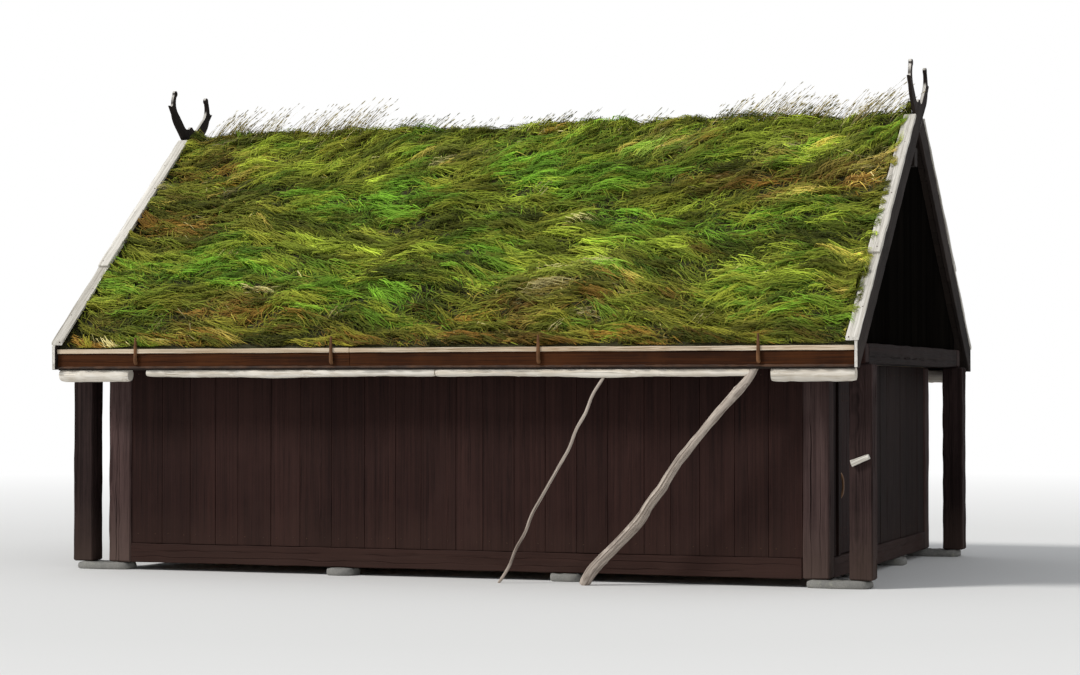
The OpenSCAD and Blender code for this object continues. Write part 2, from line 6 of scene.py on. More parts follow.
import bmesh
import bpy
import numpy as np
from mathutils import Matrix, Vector


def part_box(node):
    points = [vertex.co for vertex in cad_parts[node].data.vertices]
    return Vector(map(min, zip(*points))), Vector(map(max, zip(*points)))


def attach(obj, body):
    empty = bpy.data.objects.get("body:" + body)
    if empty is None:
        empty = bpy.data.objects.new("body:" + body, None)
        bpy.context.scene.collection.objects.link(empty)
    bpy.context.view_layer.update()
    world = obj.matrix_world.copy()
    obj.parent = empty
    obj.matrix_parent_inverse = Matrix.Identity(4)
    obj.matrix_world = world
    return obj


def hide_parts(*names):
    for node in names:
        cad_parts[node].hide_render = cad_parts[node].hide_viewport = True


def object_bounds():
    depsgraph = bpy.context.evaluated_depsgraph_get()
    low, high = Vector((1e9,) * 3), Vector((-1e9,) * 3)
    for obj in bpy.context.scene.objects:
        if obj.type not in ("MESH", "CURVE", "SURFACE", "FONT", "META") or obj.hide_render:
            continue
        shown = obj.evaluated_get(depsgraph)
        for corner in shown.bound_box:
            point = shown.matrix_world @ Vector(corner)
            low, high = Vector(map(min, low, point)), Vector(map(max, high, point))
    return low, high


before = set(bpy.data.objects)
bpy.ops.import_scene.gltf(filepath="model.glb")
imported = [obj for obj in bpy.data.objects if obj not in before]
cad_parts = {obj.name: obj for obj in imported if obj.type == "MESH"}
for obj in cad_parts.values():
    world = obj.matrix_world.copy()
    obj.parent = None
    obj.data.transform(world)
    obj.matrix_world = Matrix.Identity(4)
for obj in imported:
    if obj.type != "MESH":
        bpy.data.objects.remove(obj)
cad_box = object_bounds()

# Foundation: flat field stones that lie under the posts and sills.
# They are split grey rock with broken edges, laid dry on the ground.

WELD = 1e-5


def opened(node):
    """A CAD node's own mesh, open for work, with its corners welded."""
    mesh = bmesh.new()
    mesh.from_mesh(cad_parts[node].data)
    bmesh.ops.remove_doubles(mesh, verts=mesh.verts, dist=WELD)
    return mesh


def groups_of(mesh):
    """The corners of each separate solid of an open mesh, a list for each."""
    mesh.verts.index_update()
    seen, groups = set(), []
    for first in mesh.verts:
        if first.index in seen:
            continue
        seen.add(first.index)
        reached, group = [first], []
        while reached:
            group.append(reached.pop())
            for edge in group[-1].link_edges:
                other = edge.other_vert(group[-1])
                if other.index not in seen:
                    seen.add(other.index)
                    reached.append(other)
        groups.append(group)
    return groups


def solids_of(node):
    """The corner points of each separate solid of a CAD node, from left to right and front to back."""
    mesh = opened(node)
    solids = [np.array([corner.co[:] for corner in group]) for group in groups_of(mesh)]
    mesh.free()
    return sorted(solids, key=lambda points: tuple(points.min(0).round(3)))


def waver(points, size, seed, terms=6):
    """Smooth unevenness from about -1 to 1 at the points, with bumps about size across."""
    draw = np.random.default_rng(seed)
    way = draw.normal(size=(points.shape[-1], terms))
    way *= 2 * np.pi / size * draw.uniform(0.6, 1.5, terms) / np.linalg.norm(way, axis=0)
    return np.clip(0.5 * np.sin(points @ way + draw.uniform(0, 2 * np.pi, terms)).sum(-1), -1, 1)


def skin(rings, count):
    """Faces that join rings of count points each into one closed skin."""
    faces = [tuple(range(count - 1, -1, -1))]
    for ring in range(rings - 1):
        low, high = ring * count, (ring + 1) * count
        for k in range(count):
            m = (k + 1) % count
            faces.append((low + k, low + m, high + m, high + k))
    faces.append(tuple((rings - 1) * count + k for k in range(count)))
    return faces


def new_object(name, data):
    """An object that shows a mesh, a lamp or a camera in the scene."""
    item = bpy.data.objects.new(name, data)
    bpy.context.scene.collection.objects.link(item)
    return item


def set_piece(name, mesh, finish, stands_for=()):
    """Puts a finished mesh into the scene, riding on the house and standing for its CAD nodes."""
    mesh.materials.append(finish)
    piece = new_object(name, mesh)
    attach(piece, "root")
    for node in stands_for:
        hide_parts(node)


def store(mesh, name, kind, key, values):
    """Keeps a value, a place or a colour for each point of a mesh."""
    values = np.asarray(values, np.float32).ravel()
    mesh.attributes.new(name, kind, "POINT").data.foreach_set(key, values)


def make_piece(name, parts, finish, stands_for=(), sharp=35):
    """A piece made of parts, each a tuple of points, faces, grain places and a tint."""
    points, faces, grain, tint, start = [], [], [], [], 0
    for part_points, part_faces, part_grain, part_tint in parts:
        points.append(part_points)
        grain.append(part_grain)
        tint.append(np.full(len(part_points), part_tint))
        faces.extend([tuple(start + k for k in face) for face in part_faces])
        start += len(part_points)
    mesh = bpy.data.meshes.new(name)
    mesh.from_pydata(np.concatenate(points).tolist(), [], faces)
    store(mesh, "grain", "FLOAT_VECTOR", "vector", np.concatenate(grain))
    store(mesh, "tint", "FLOAT", "value", np.concatenate(tint))
    mesh.validate()
    mesh.shade_smooth()
    mesh.set_sharp_from_angle(angle=math.radians(sharp))
    set_piece(name, mesh, finish, stands_for)


def feed(tree, socket, value):
    """Links a socket to another node's output, or sets it to a value."""
    if isinstance(value, bpy.types.NodeSocket):
        tree.links.new(value, socket)
    else:
        socket.default_value = value


def add(tree, kind, settings=None, **inputs):
    """A shader node with its settings and its inputs, each a value or another node's output."""
    node = tree.nodes.new("ShaderNode" + kind)
    for key, value in (settings or {}).items():
        setattr(node, key, value)
    for key, value in inputs.items():
        feed(tree, node.inputs[key.replace("_", " ")], value)
    return node


def reckon(tree, operation, *values):
    """The result of a Math node."""
    node = add(tree, "Math", {"operation": operation})
    for socket, value in zip(node.inputs, values):
        feed(tree, socket, value)
    return node.outputs[0]


def scaled(tree, value, factor, plus=0.0):
    """A value times a factor, plus something."""
    return reckon(tree, "MULTIPLY_ADD", value, factor, plus)


def blend(tree, share, first, second, kind="MIX"):
    """Two colours mixed by a share from 0 to 1."""
    node = add(tree, "Mix", {"data_type": "RGBA", "blend_type": kind})
    for k, value in ((0, share), (6, first), (7, second)):
        feed(tree, node.inputs[k], value)
    return node.outputs[2]


def ramp(tree, value, start, end, low=0.0, high=1.0):
    """A grey that goes from low to high as a value goes from start to end."""
    node = add(tree, "ValToRGB")
    feed(tree, node.inputs[0], value)
    for element, place, level in zip(node.color_ramp.elements, (start, end), (low, high)):
        element.position = place
        element.color = (level, level, level, 1)
    return node.outputs[0]


def noise(tree, places, scale, stretch=(1, 1, 1), detail=3.0, roughness=0.5):
    """The grey of a Noise Texture at stretched places."""
    stretched = add(tree, "Mapping", Vector=places, Scale=stretch).outputs[0]
    return add(tree, "TexNoise", Vector=stretched, Scale=scale, Detail=detail, Roughness=roughness).outputs[0]


def places_of(tree):
    """Places on the house, in metres."""
    return add(tree, "TexCoord").outputs["Object"]


def new_finish(name):
    """An empty material with its node tree, a Principled shader and the shader's output linked."""
    finish = bpy.data.materials.new(name)
    finish.use_nodes = True
    tree = finish.node_tree
    tree.nodes.clear()
    shader = tree.nodes.new("ShaderNodeBsdfPrincipled")
    out = tree.nodes.new("ShaderNodeOutputMaterial")
    tree.links.new(shader.outputs[0], out.inputs[0])
    return finish, tree, shader


def surface(tree, shader, base, rough, height=None, strength=0.8, distance=0.002):
    """Gives a shader its colour and its roughness, and its bump from a height."""
    feed(tree, shader.inputs["Base Color"], base)
    feed(tree, shader.inputs["Roughness"], rough)
    if height is not None:
        bump = add(tree, "Bump", Height=height, Strength=strength, Distance=distance)
        feed(tree, shader.inputs["Normal"], bump.outputs[0])


def colour(red, green, blue):
    """A colour from 0 to 255 as the screen shows it, for a shader."""
    return tuple(((c / 255 + 0.055) / 1.055) ** 2.4 for c in (red, green, blue)) + (1.0,)


def field_stone():
    """Grey rock with blotches, grit and patches of pale lichen."""
    finish, tree, shader = new_finish("field_stone")
    places = places_of(tree)
    blotch = noise(tree, places, 5.0, detail=6.0, roughness=0.6)
    grit = noise(tree, places, 90.0, detail=4.0)
    lichen = ramp(tree, noise(tree, places, 14.0, detail=5.0, roughness=0.7), 0.56, 0.66)
    base = blend(tree, ramp(tree, blotch, 0.3, 0.7), colour(92, 92, 90), colour(136, 134, 128))
    base = blend(tree, scaled(tree, lichen, 0.55), base, colour(158, 160, 140))
    base = blend(tree, 0.35, base, blend(tree, grit, colour(60, 60, 58), colour(190, 188, 182)))
    height = reckon(tree, "ADD", grit, scaled(tree, blotch, 2.0))
    surface(tree, shader, base, ramp(tree, grit, 0.0, 1.0, 0.75, 0.98), height, 0.5, 0.004)
    return finish


STONE_POINTS = 40
STONE_RINGS = ((0.0, 0.93), (0.12, 0.99), (0.4, 1.0), (0.72, 0.985), (0.9, 0.95), (1.0, 0.88), (1.0, 0.5))


def rough_stone(low, high, seed):
    """A flat stone inside a box: a broken outline, a worn upper edge and uneven faces."""
    draw = np.random.default_rng(seed)
    turn = draw.uniform(0, 2 * np.pi)
    middle, half = (low + high) / 2, (high - low) / 2
    angle = 2 * np.pi * np.arange(STONE_POINTS) / STONE_POINTS
    outline = (np.abs(np.cos(angle)) ** 4 + np.abs(np.sin(angle)) ** 4) ** -0.25
    rings = []
    for level, (height, share) in enumerate(STONE_RINGS):
        small = 0.02 * (1 + np.sin(7 * angle + 2 * turn + 0.7 * level))
        reach = outline * (share * (1 - 0.035 * (1 + np.sin(3 * angle + turn)) - small))
        x = middle[0] + half[0] * reach * np.cos(angle)
        y = middle[1] + half[1] * reach * np.sin(angle)
        z = low[2] + (high[2] - low[2]) * height + np.zeros(STONE_POINTS)
        if level > 3:
            z -= 0.006 * (1 + waver(np.stack([x, y], 1), 0.12, seed + 1)) * (1 if level > 4 else 0.5)
        rings.append(np.stack([x, y, z], 1))
    points = np.concatenate(rings)
    return points, skin(len(STONE_RINGS), STONE_POINTS), points, draw.uniform()


make_piece(
    "foundation_stones_rough",
    [rough_stone(s.min(0), s.max(0), 300 + k) for k, s in enumerate(solids_of("foundation_stones"))],
    field_stone(),
    ["foundation_stones"],
    sharp=50,
)

# Sills: squared pine beams let in between the corner posts, on the stones.
# They are hewn with an axe, tarred, and checked along the grain by drying.

HAIR = 0.0002
CRACK_ROOM = 0.016


def squared(width, depth, length, seed, chamfer=0.008, hew=0.003, step=0.11, cracks=0, widest=0.007):
    """A squared timber along its own z: chamfered arrises, faces hewn a little hollow, and drying cracks."""
    draw = np.random.default_rng(seed)
    sides = (
        (0, 0, 1, 0, width), (width, 0, 0, 1, depth), (width, depth, -1, 0, width), (0, depth, 0, -1, depth),
    )
    along = np.linspace(0, length, max(3, int(round(length / step)) + 1))
    along = np.concatenate([[0.0], along[:1] + chamfer, along[1:-1], along[-1:] - chamfer, [length]])
    faults = []
    for _ in range(cracks):
        middle, reach = draw.uniform(0.15, 0.85) * length, draw.uniform(0.15, 0.45) * length
        side, across = int(draw.integers(4)), draw.uniform(0.25, 0.75)
        faults.append((side, across, middle - reach, 2 * reach, draw.uniform(0.4, 1)))
    columns = []
    for side, (x, y, way_x, way_y, run) in enumerate(sides):
        arrises = (chamfer, run - chamfer)
        places = [(at, None, 0) for at in (chamfer, run / 4, run * 2 / 4, run * 3 / 4, run - chamfer)]
        for fault in faults:
            if fault[0] == side:
                at = fault[1] * run
                places = [p for p in places if p[1] or abs(p[0] - at) > CRACK_ROOM or p[0] in arrises]
                places += [(at, fault, lip) for lip in (-1, 0, 1)]
        columns += [(x, y, way_x, way_y, p) for p in sorted(places, key=lambda p: (p[0], p[2]))]
    points = np.zeros((len(along), len(columns), 3))
    for column, (x, y, way_x, way_y, (at, fault, lip)) in enumerate(columns):
        place, sink = np.full(len(along), at), np.zeros(len(along))
        if fault:
            _, across, start, reach, share = fault
            gape = widest * share * np.sin(np.pi * np.clip((along - start) / reach, 0, 1)) ** 0.7
            spots = np.stack([along, along * 0 + across * 9], 1)
            place = place + 0.008 * waver(spots, 0.5, seed + 5) + lip * (HAIR + 0.5 * gape)
            sink = (lip == 0) * (HAIR + 3.2 * gape)
        points[:, column, 0] = x + way_x * place - way_y * sink
        points[:, column, 1] = y + way_y * place + way_x * sink
        points[:, column, 2] = along
        spots = points[:, column] * np.array([1, 1, 0.4])
        dent = hew * (0.5 + 0.5 * waver(spots, 0.16, seed + 1)) * (lip != 0 or fault is None)
        points[:, column, 0] -= way_y * dent
        points[:, column, 1] += way_x * dent
    section = np.array([width, depth])
    for end in (0, -1):
        from_centre = points[end, :, :2] - section / 2
        points[end, :, :2] = section / 2 + from_centre * (1 - 2 * chamfer / section)
    points = points.reshape(-1, 3)
    pith = np.array([draw.uniform(-0.3, 1.3) * width, draw.uniform(-0.5, 1.5) * depth, draw.uniform(-40, 40)])
    return points, skin(len(along), len(columns)), points - pith, draw.uniform()


TURNS = {
    "x": np.array([[0, 1, 0], [0, 0, 1], [1, 0, 0]]),
    "y": np.array([[0, 0, 1], [1, 0, 0], [0, 1, 0]]),
    "z": np.eye(3),
}


def laid(low, high, along, seed, **details):
    """A squared timber that fills a box, with its grain along an axis."""
    turn = TURNS[along]
    size = turn @ (np.array(high) - np.array(low))
    points, faces, grain, tint = squared(*size, seed, **details)
    return points @ turn + np.array(low), faces, grain, tint


def hewn(name, timbers, finish, slot, **details):
    """A piece of squared timbers for CAD nodes, each given with its grain's axis, a seed and its cracks."""
    parts = []
    for node, along, seed, cracks in timbers:
        for k, s in enumerate(solids_of(node)):
            parts.append(laid(s.min(0), s.max(0), along, seed + 7 * k, cracks=cracks, hew=0.006, **details))
    make_piece(name, parts, finish, [timber[0] for timber in timbers])


def number_of(tree, vector, axis):
    """One of the three numbers of a vector."""
    return add(tree, "SeparateXYZ", Vector=vector).outputs[axis]


WALL_HALF = (3.83, 2.53)
FOOT_LOW, FOOT_HIGH, RAMP_TALL = 2.5, 2.7, 5.0


def wood(
    name, dark, light, weather=None, worn=0.0, knots=0.5, rough=(0.7, 0.95), relief=0.0016,
    splash=None, gloss=0.2, vary=0.4, outside=None, bleached_and_sky_lit=None,
):
    """Wood whose rings, fibres and knots follow the grain places of each timber.

    It can be weathered in patches, splashed near the ground, darker outside the walls as painted shade of
    the overhang, and paler on the edges that face the sky, as painted sky light with some weathering, and at
    the foot of a slope."""
    finish, tree, shader = new_finish(name)
    shader.inputs["Specular IOR Level"].default_value = gloss
    places = places_of(tree)
    tint = add(tree, "Attribute", {"attribute_name": "tint"}).outputs["Fac"]
    grain = add(tree, "Attribute", {"attribute_name": "grain"}).outputs["Vector"]
    shift = add(tree, "CombineXYZ", X=scaled(tree, tint, 3.1), Z=scaled(tree, tint, 17.0))
    own = add(tree, "VectorMath", {"operation": "ADD"})
    feed(tree, own.inputs[0], grain)
    feed(tree, own.inputs[1], shift.outputs[0])
    own = own.outputs[0]
    bend = noise(tree, own, 1.0, (2.5, 2.5, 0.7), 2.0)
    squares = [reckon(tree, "POWER", number_of(tree, grain, axis), 2.0) for axis in (0, 1)]
    across = reckon(tree, "SQRT", reckon(tree, "ADD", *squares))
    ring = reckon(tree, "SINE", scaled(tree, across, 900.0, scaled(tree, bend, 60.0)))
    ring = scaled(tree, ring, 0.5, 0.5)
    fibre = noise(tree, own, 1.0, (190, 190, 2.6), 4.0, 0.7)
    streak = noise(tree, own, 1.0, (38, 38, 0.5), 5.0, 0.7)
    broad = noise(tree, own, 1.0, (5, 5, 0.35), 2.0)
    level = 0.0
    for grey, share in ((streak, 0.46), (fibre, 0.32), (ring, 0.08), (broad, 0.22)):
        level = scaled(tree, grey, share, level)
    base = blend(tree, ramp(tree, level, 0.42, 0.66), dark, light)
    spot = add(tree, "Mapping", Vector=own, Scale=(5, 5, 1.9)).outputs[0]
    knot = ramp(tree, add(tree, "TexVoronoi", Vector=spot, Scale=1.0).outputs[0], 0.05, 0.10, 1.0, 0.0)
    base = blend(tree, scaled(tree, knot, knots), base, tuple(0.35 * c for c in dark[:3]) + (1,))
    shake = ramp(tree, noise(tree, own, 1.0, (75, 75, 0.9), 2.0, 0.5), 0.30, 0.36, 1.0, 0.0)
    base = blend(tree, scaled(tree, shake, 0.55), base, tuple(0.3 * c for c in dark[:3]) + (1,))
    # Paler greys on edges that do not face sideways: where they face up, a painted sky light with some
    # weathering, and at the foot of a slope.
    if bleached_and_sky_lit:
        normal = add(tree, "NewGeometry").outputs["Normal"]
        edge = ramp(tree, reckon(tree, "ABSOLUTE", number_of(tree, normal, 0)), 0.4, 0.7, 1.0, 0.0)
        rise = scaled(tree, number_of(tree, normal, 2), 0.5, 0.5)
        foot = scaled(tree, number_of(tree, places, 2), 1 / RAMP_TALL)
        foot = ramp(tree, foot, FOOT_LOW / RAMP_TALL, FOOT_HIGH / RAMP_TALL, 1.0, 0.0)
        foot = scaled(tree, foot, ramp(tree, rise, 0.30, 0.42))
        upper = reckon(tree, "MAXIMUM", foot, ramp(tree, rise, 0.56, 0.70))
        grey = blend(tree, ramp(tree, level, 0.40, 0.60), *bleached_and_sky_lit)
        base = blend(tree, scaled(tree, edge, upper), base, grey)
    if weather:
        patch = noise(tree, places, 1.3, (1, 1, 0.6), 5.0, 0.65)
        patch = ramp(tree, scaled(tree, streak, 0.35, scaled(tree, patch, 0.65)), 0.45, 0.62)
        base = blend(tree, scaled(tree, patch, worn), base, weather)
    if splash:
        above = scaled(tree, noise(tree, own, 3.0, detail=4.0), 0.5, number_of(tree, places, 2))
        base = blend(tree, ramp(tree, above, 0.3, 0.95, 0.6, 0.0), base, splash)
    # Painted shade of the overhang: darker outside the walls.
    if outside:
        past = [
            reckon(tree, "SUBTRACT", reckon(tree, "ABSOLUTE", number_of(tree, places, axis)), half)
            for axis, half in enumerate(WALL_HALF)
        ]
        past = ramp(tree, scaled(tree, reckon(tree, "MAXIMUM", *past), 90.0), 0.0, 1.0)
        base = blend(tree, past, base, outside)
    bright = scaled(tree, tint, vary, 1 - 0.5 * vary)
    bright = add(tree, "CombineColor", Red=bright, Green=bright, Blue=bright).outputs[0]
    base = blend(tree, 1.0, base, bright, "MULTIPLY")
    height = scaled(tree, streak, 0.8, scaled(tree, fibre, 0.6))
    height = reckon(tree, "SUBTRACT", height, scaled(tree, shake, 0.8))
    surface(tree, shader, base, ramp(tree, fibre, 0.3, 0.7, *rough), height, 0.8, relief)
    return finish


tarred = wood(
    "tarred_pine", colour(30, 17, 15), colour(52, 32, 28), weather=colour(62, 42, 38), worn=0.3,
    knots=0.2, rough=(0.65, 0.85), splash=colour(60, 43, 37), gloss=0.1, vary=0.22,
)
sills = (("front_sill", "x", 10, 4), ("back_sill", "x", 20, 4), ("gable_sills", "y", 30, 3))
hewn("sill_beams_hewn", sills, tarred, "tarred_wood", chamfer=0.012)

# Corner posts and wall posts: squared pine, the outer ones tarred long ago and weathered grey-brown,
# the inner ones bare. They stand on the stones and sills and carry the wall plates.

post_brown = wood(
    "weathered_post", colour(42, 30, 29), colour(88, 68, 65), weather=colour(102, 84, 81), worn=0.4,
    knots=0.5, rough=(0.7, 0.92), relief=0.0025, splash=colour(96, 80, 72), gloss=0.12,
)
corner_posts = (("corner_posts", "z", 40, 6),)
hewn("corner_posts_hewn", corner_posts, post_brown, "post_wood", chamfer=0.016, widest=0.009)

# Bare pine for the inner frame, floor and roof boards, darker where it reaches past the walls as painted
# shade of the overhang.
bare_pine = wood(
    "bare_pine", colour(128, 94, 62), colour(178, 142, 98), knots=0.8, rough=(0.7, 0.9), relief=0.001,
    outside=colour(34, 26, 21),
)
PITCH = math.radians(40)
EAVE_Y = 3.0
EAVE_Z = 2.1
SLOPES = {"slope": (-1, 1), "front slope": (-1,), "back slope": (1,)}


def grain_of(places, along):
    """Places turned so that the third number runs along the grain: an axis, or up a slope of the roof."""
    x, y, z = places.T
    if along in SLOPES:
        level = EAVE_Y - (np.abs(y) if along == "slope" else SLOPES[along][0] * y)
        up = level * math.cos(PITCH) + (z - EAVE_Z) * math.sin(PITCH)
        out = (z - EAVE_Z) * math.cos(PITCH) - level * math.sin(PITCH)
        return np.stack([x, out, up], 1)
    return {"x": np.stack([y, z, x], 1), "y": np.stack([x, z, y], 1), "z": places.copy()}[along]


def planes_at(station, along, places):
    """The planes square to the grain at a station of a timber, each a point and a normal."""
    if along in SLOPES:
        level, rise = math.cos(PITCH), math.sin(PITCH)
        return [
            (Vector((0, side * (EAVE_Y - station * level), EAVE_Z + station * rise)),
             Vector((0, -side * level, rise)))
            for side in SLOPES[along]
            if (places[:, 1] * side).max() > 0.3
        ]
    normal = Vector([float(axis == along) for axis in "xyz"])
    return [(normal * station, normal)]


def dressed(node, along, seed, bevel=0.006, hew=0.003, cut=0.4):
    """Parts from a CAD node's own solids, with worn arrises and uneven faces."""
    source = opened(node)
    bmesh.ops.dissolve_limit(source, angle_limit=math.radians(1), verts=source.verts, edges=source.edges)
    arrises = [e for e in source.edges if len(e.link_faces) == 2 and e.calc_face_angle() > math.radians(20)]
    bmesh.ops.bevel(source, geom=arrises, offset=bevel, segments=1, affect="EDGES", clamp_overlap=True)
    places = np.array([v.co[:] for v in source.verts])
    run = grain_of(places, along)[:, 2]
    for station in np.arange(run.min() + cut, run.max(), cut):
        for spot, normal in planes_at(station, along, places):
            everything = source.verts[:] + source.edges[:] + source.faces[:]
            bmesh.ops.bisect_plane(source, geom=everything, plane_co=spot, plane_no=normal, dist=WELD)
    source.faces.index_update()
    source.normal_update()
    groups = groups_of(source)
    places = np.array([v.co[:] for v in source.verts])
    normals = np.array([v.normal[:] for v in source.verts])
    places = places - normals * (hew * (0.5 + 0.5 * waver(places, 0.35, seed)))[:, None]
    grain = grain_of(places, along)
    parts = []
    for group in groups:
        index = [v.index for v in group]
        order = {number: k for k, number in enumerate(index)}
        inside = {f for v in group for f in v.link_faces}
        faces = [tuple(order[v.index] for v in f.verts) for f in sorted(inside, key=lambda f: f.index)]
        draw = np.random.default_rng(seed + 11 * len(parts))
        parts.append((places[index], faces, grain[index] - draw.uniform(-0.2, 0.2, 3), draw.uniform()))
    source.free()
    return parts


def dress(node, along, seed, finish, slot, work="dressed", **details):
    """A piece from a CAD node's own solids, named for the node and the work on it."""
    make_piece(f"{node}_{work}", dressed(node, along, seed, **details), finish, [node])


dress("wall_posts", "z", 60, bare_pine, "inside_wood")

# Floor: pine joists between the sills and a boarded floor, butted in three lengths over the joists.
# The boards are planed on their upper side and laid with narrow joints.

dress("floor_joists", "y", 70, bare_pine, "inside_wood")

JOINT = 0.001
FLOOR_ROWS, FLOOR_BUTT = 24, 1.2
floor_low, floor_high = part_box("floor_boards")
floor_cuts = (floor_low.x, -FLOOR_BUTT, FLOOR_BUTT, floor_high.x)
floor_parts = []
for row in range(FLOOR_ROWS):
    y0, y1 = (floor_low.y + (floor_high.y - floor_low.y) * k / FLOOR_ROWS for k in (row, row + 1))
    for x0, x1 in zip(floor_cuts, floor_cuts[1:]):
        low, high = (x0 + JOINT, y0 + JOINT, floor_low.z), (x1 - JOINT, y1 - JOINT, floor_high.z)
        seed = 80 + row * 5 + int(x0 * 3)
        floor_parts.append(laid(low, high, "x", seed, chamfer=0.002, hew=0.001, step=0.6))
make_piece("floor_planks", floor_parts, bare_pine, ["floor_boards"])

# Walls: wide upright pine planks, tarred red-brown, let in between sill and plate and nailed there.
# Each plank is a little wider, thicker or more hollow than the next, with a fine groove at the joints.
# The gable walls stand under the overhang, and their tar is coloured darker there as painted shade of the
# overhang.

GROOVE = 0.0004
NAIL = 0.0065
NAILS_ACROSS = (0.22, 0.78)
nails = []


def uneven(draw, low, high, count):
    """The edges of boards of uneven width that fill a run."""
    shares = draw.uniform(0.8, 1.2, count)
    return low + (high - low) * np.concatenate([[0], np.cumsum(shares) / shares.sum()])


def planked(low, high, axis, widths, seed, deepest=0.005, nail_rows=(0.05, 0.95)):
    """Upright planks that fill a wall box, side by side along an axis, each nailed twice at every row."""
    draw = np.random.default_rng(seed)
    edges = uneven(draw, low[axis], high[axis], widths)
    across = 1 - axis
    out = 1 if low[across] > 0 else -1
    parts = []
    for k in range(widths):
        a, b = np.array(low, float), np.array(high, float)
        a[axis], b[axis] = edges[k] + GROOVE, edges[k + 1] - GROOVE
        face = b if out > 0 else a
        face[across] -= out * draw.uniform(0, deepest)
        for row in nail_rows:
            for share in NAILS_ACROSS:
                height = row + 0.006 * math.sin(7.0 * k + 3.0 * share)
                spot = a + (b - a) * np.array([share, share, height])
                spot[across] = face[across]
                nails.append((spot, np.eye(3)[across] * out, NAIL))
        details = {"chamfer": 0.004, "hew": 0.0025, "step": 0.2, "cracks": int(draw.integers(0, 2))}
        parts.append(laid(a, b, "z", seed + 13 * k, widest=0.003, **details))
    return parts


def wall_of(node, axis, widths, seed):
    """The planks of a whole wall."""
    return planked(*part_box(node), axis, widths, seed)


SEAM_X = 1.64
front_low, front_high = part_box("front_wall")
front_planks = planked(front_low, (SEAM_X, front_high.y, front_high.z), 0, 16, 100)
front_planks += planked((SEAM_X, front_low.y, front_low.z), front_high, 0, 6, 120, deepest=0.002)
make_piece("front_wall_planks", front_planks, tarred, ["front_wall"])
make_piece("back_wall_planks", wall_of("back_wall", 0, 22, 140), tarred, ["back_wall"])
# Darker tar for the gable walls, the door frame and the porch beams: painted shade of the overhang.
shaded_tar = wood(
    "tar_with_painted_shade", colour(17, 9, 7), colour(36, 21, 18), weather=colour(44, 29, 26), worn=0.25,
    knots=0.2, rough=(0.65, 0.85), splash=colour(50, 36, 31), gloss=0.08, vary=0.22,
)
make_piece("left_wall_planks", wall_of("left_wall", 1, 15, 160), shaded_tar, ["left_wall"])
make_piece(
    "right_wall_planks",
    wall_of("right_wall_front_part", 1, 1, 180) + wall_of("right_wall_back_part", 1, 10, 190),
    shaded_tar,
    ["right_wall_front_part", "right_wall_back_part"],
)

# Door: rebated and tarred jambs and a lintel, pegged under the tie beam, and a leaf of four planks, painted
# red, that closes against the rebates. Leaf and jambs are coloured nearly black, as painted shade of the
# porch recess.

# The jambs and lintel take the darker tar, a painted shade of the porch recess.
door_frame = dressed("door_jambs", "z", 200, bevel=0.008) + dressed("door_lintel", "y", 210, bevel=0.008)
make_piece("door_frame_hewn", door_frame, shaded_tar, ["door_jambs", "door_lintel"])
# The leaf's red is darkened nearly to black: painted shade of the porch recess.
door_red_with_painted_shade = wood(
    "door_red_with_painted_shade", colour(21, 7, 5), colour(42, 16, 12), weather=colour(33, 15, 12), worn=0.35,
    knots=0.4, rough=(0.6, 0.85), gloss=0.1, vary=0.25,
)
LEAF = 0.042
door_low, door_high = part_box("door_leaf")
leaf_face = door_low.x + LEAF
leaf_rows = (0.1, 0.14, 0.5, 0.86, 0.9)
leaf_high = (leaf_face, door_high.y, door_high.z)
leaf_planks = planked(door_low, leaf_high, 1, 4, 220, deepest=0.002, nail_rows=leaf_rows)
make_piece("door_leaf_planks", leaf_planks, door_red_with_painted_shade, ["door_leaf"])

# Door pull: a bow sawn and whittled from a naturally bent branch, pegged to the second plank and
# polished by hands.

BOW_HALF, BOW_THICK, BOW_STAND, BOW_OPEN = 0.13, 0.034, 0.038, 0.66


def whittled_bow(face, y, z, seed):
    """A handle that springs from a face at both ends, thicker at its feet, with rounded arrises."""
    rows, around = 27, 12
    angle = 2 * np.pi * (np.arange(around) + 0.5) / around
    t = np.linspace(-1, 1, rows)
    far = np.abs(t)
    outer = np.maximum(BOW_STAND * np.clip(1 - far**3.2, 0, 1) ** 0.8, 0.004)
    hollow = 0.020 * np.clip(1 - (far / BOW_OPEN) ** 2.6, 0, 1) ** 0.7
    inner = np.where(far < BOW_OPEN, hollow, 0.0) - 0.003
    middle, deep = (outer + inner) / 2, (outer - inner) / 2
    wide = 0.5 * BOW_THICK * (0.74 + 0.26 * far**2) * np.where(far > 0.97, 0.8, 1.0)
    round_x, round_y = (np.sign(way) * np.abs(way) ** 0.7 for way in (np.cos(angle), np.sin(angle)))
    x = face + middle[:, None] + deep[:, None] * round_x
    y = y + wide[:, None] * round_y
    z = np.broadcast_to(z + BOW_HALF * t[:, None], x.shape)
    points = np.stack([x, y, z], -1).reshape(-1, 3)
    points[:, 1] += 0.0006 * waver(points, 0.05, seed)
    return points, skin(rows, around), points - np.array([face, door_low.y, 0.0]), 0.6


pull_worn = wood(
    "pull_worn", colour(92, 62, 40), colour(150, 112, 78), knots=0.3, rough=(0.45, 0.6),
    relief=0.0006, gloss=0.35,
)
pull = whittled_bow(leaf_face - 0.002, door_low.y + 0.123, 0.95, 225)
make_piece("door_pull_whittled", [pull], pull_worn)

# Roof frame: wall plates on the posts, tie beams across, king posts under the ridge beam and
# notched rafters, all of hewn pine. The plates and the porch beams show outside and are tarred.

hewn("wall_plates_hewn", (("wall_plates", "x", 230, 5),), tarred, "tarred_wood", chamfer=0.012)
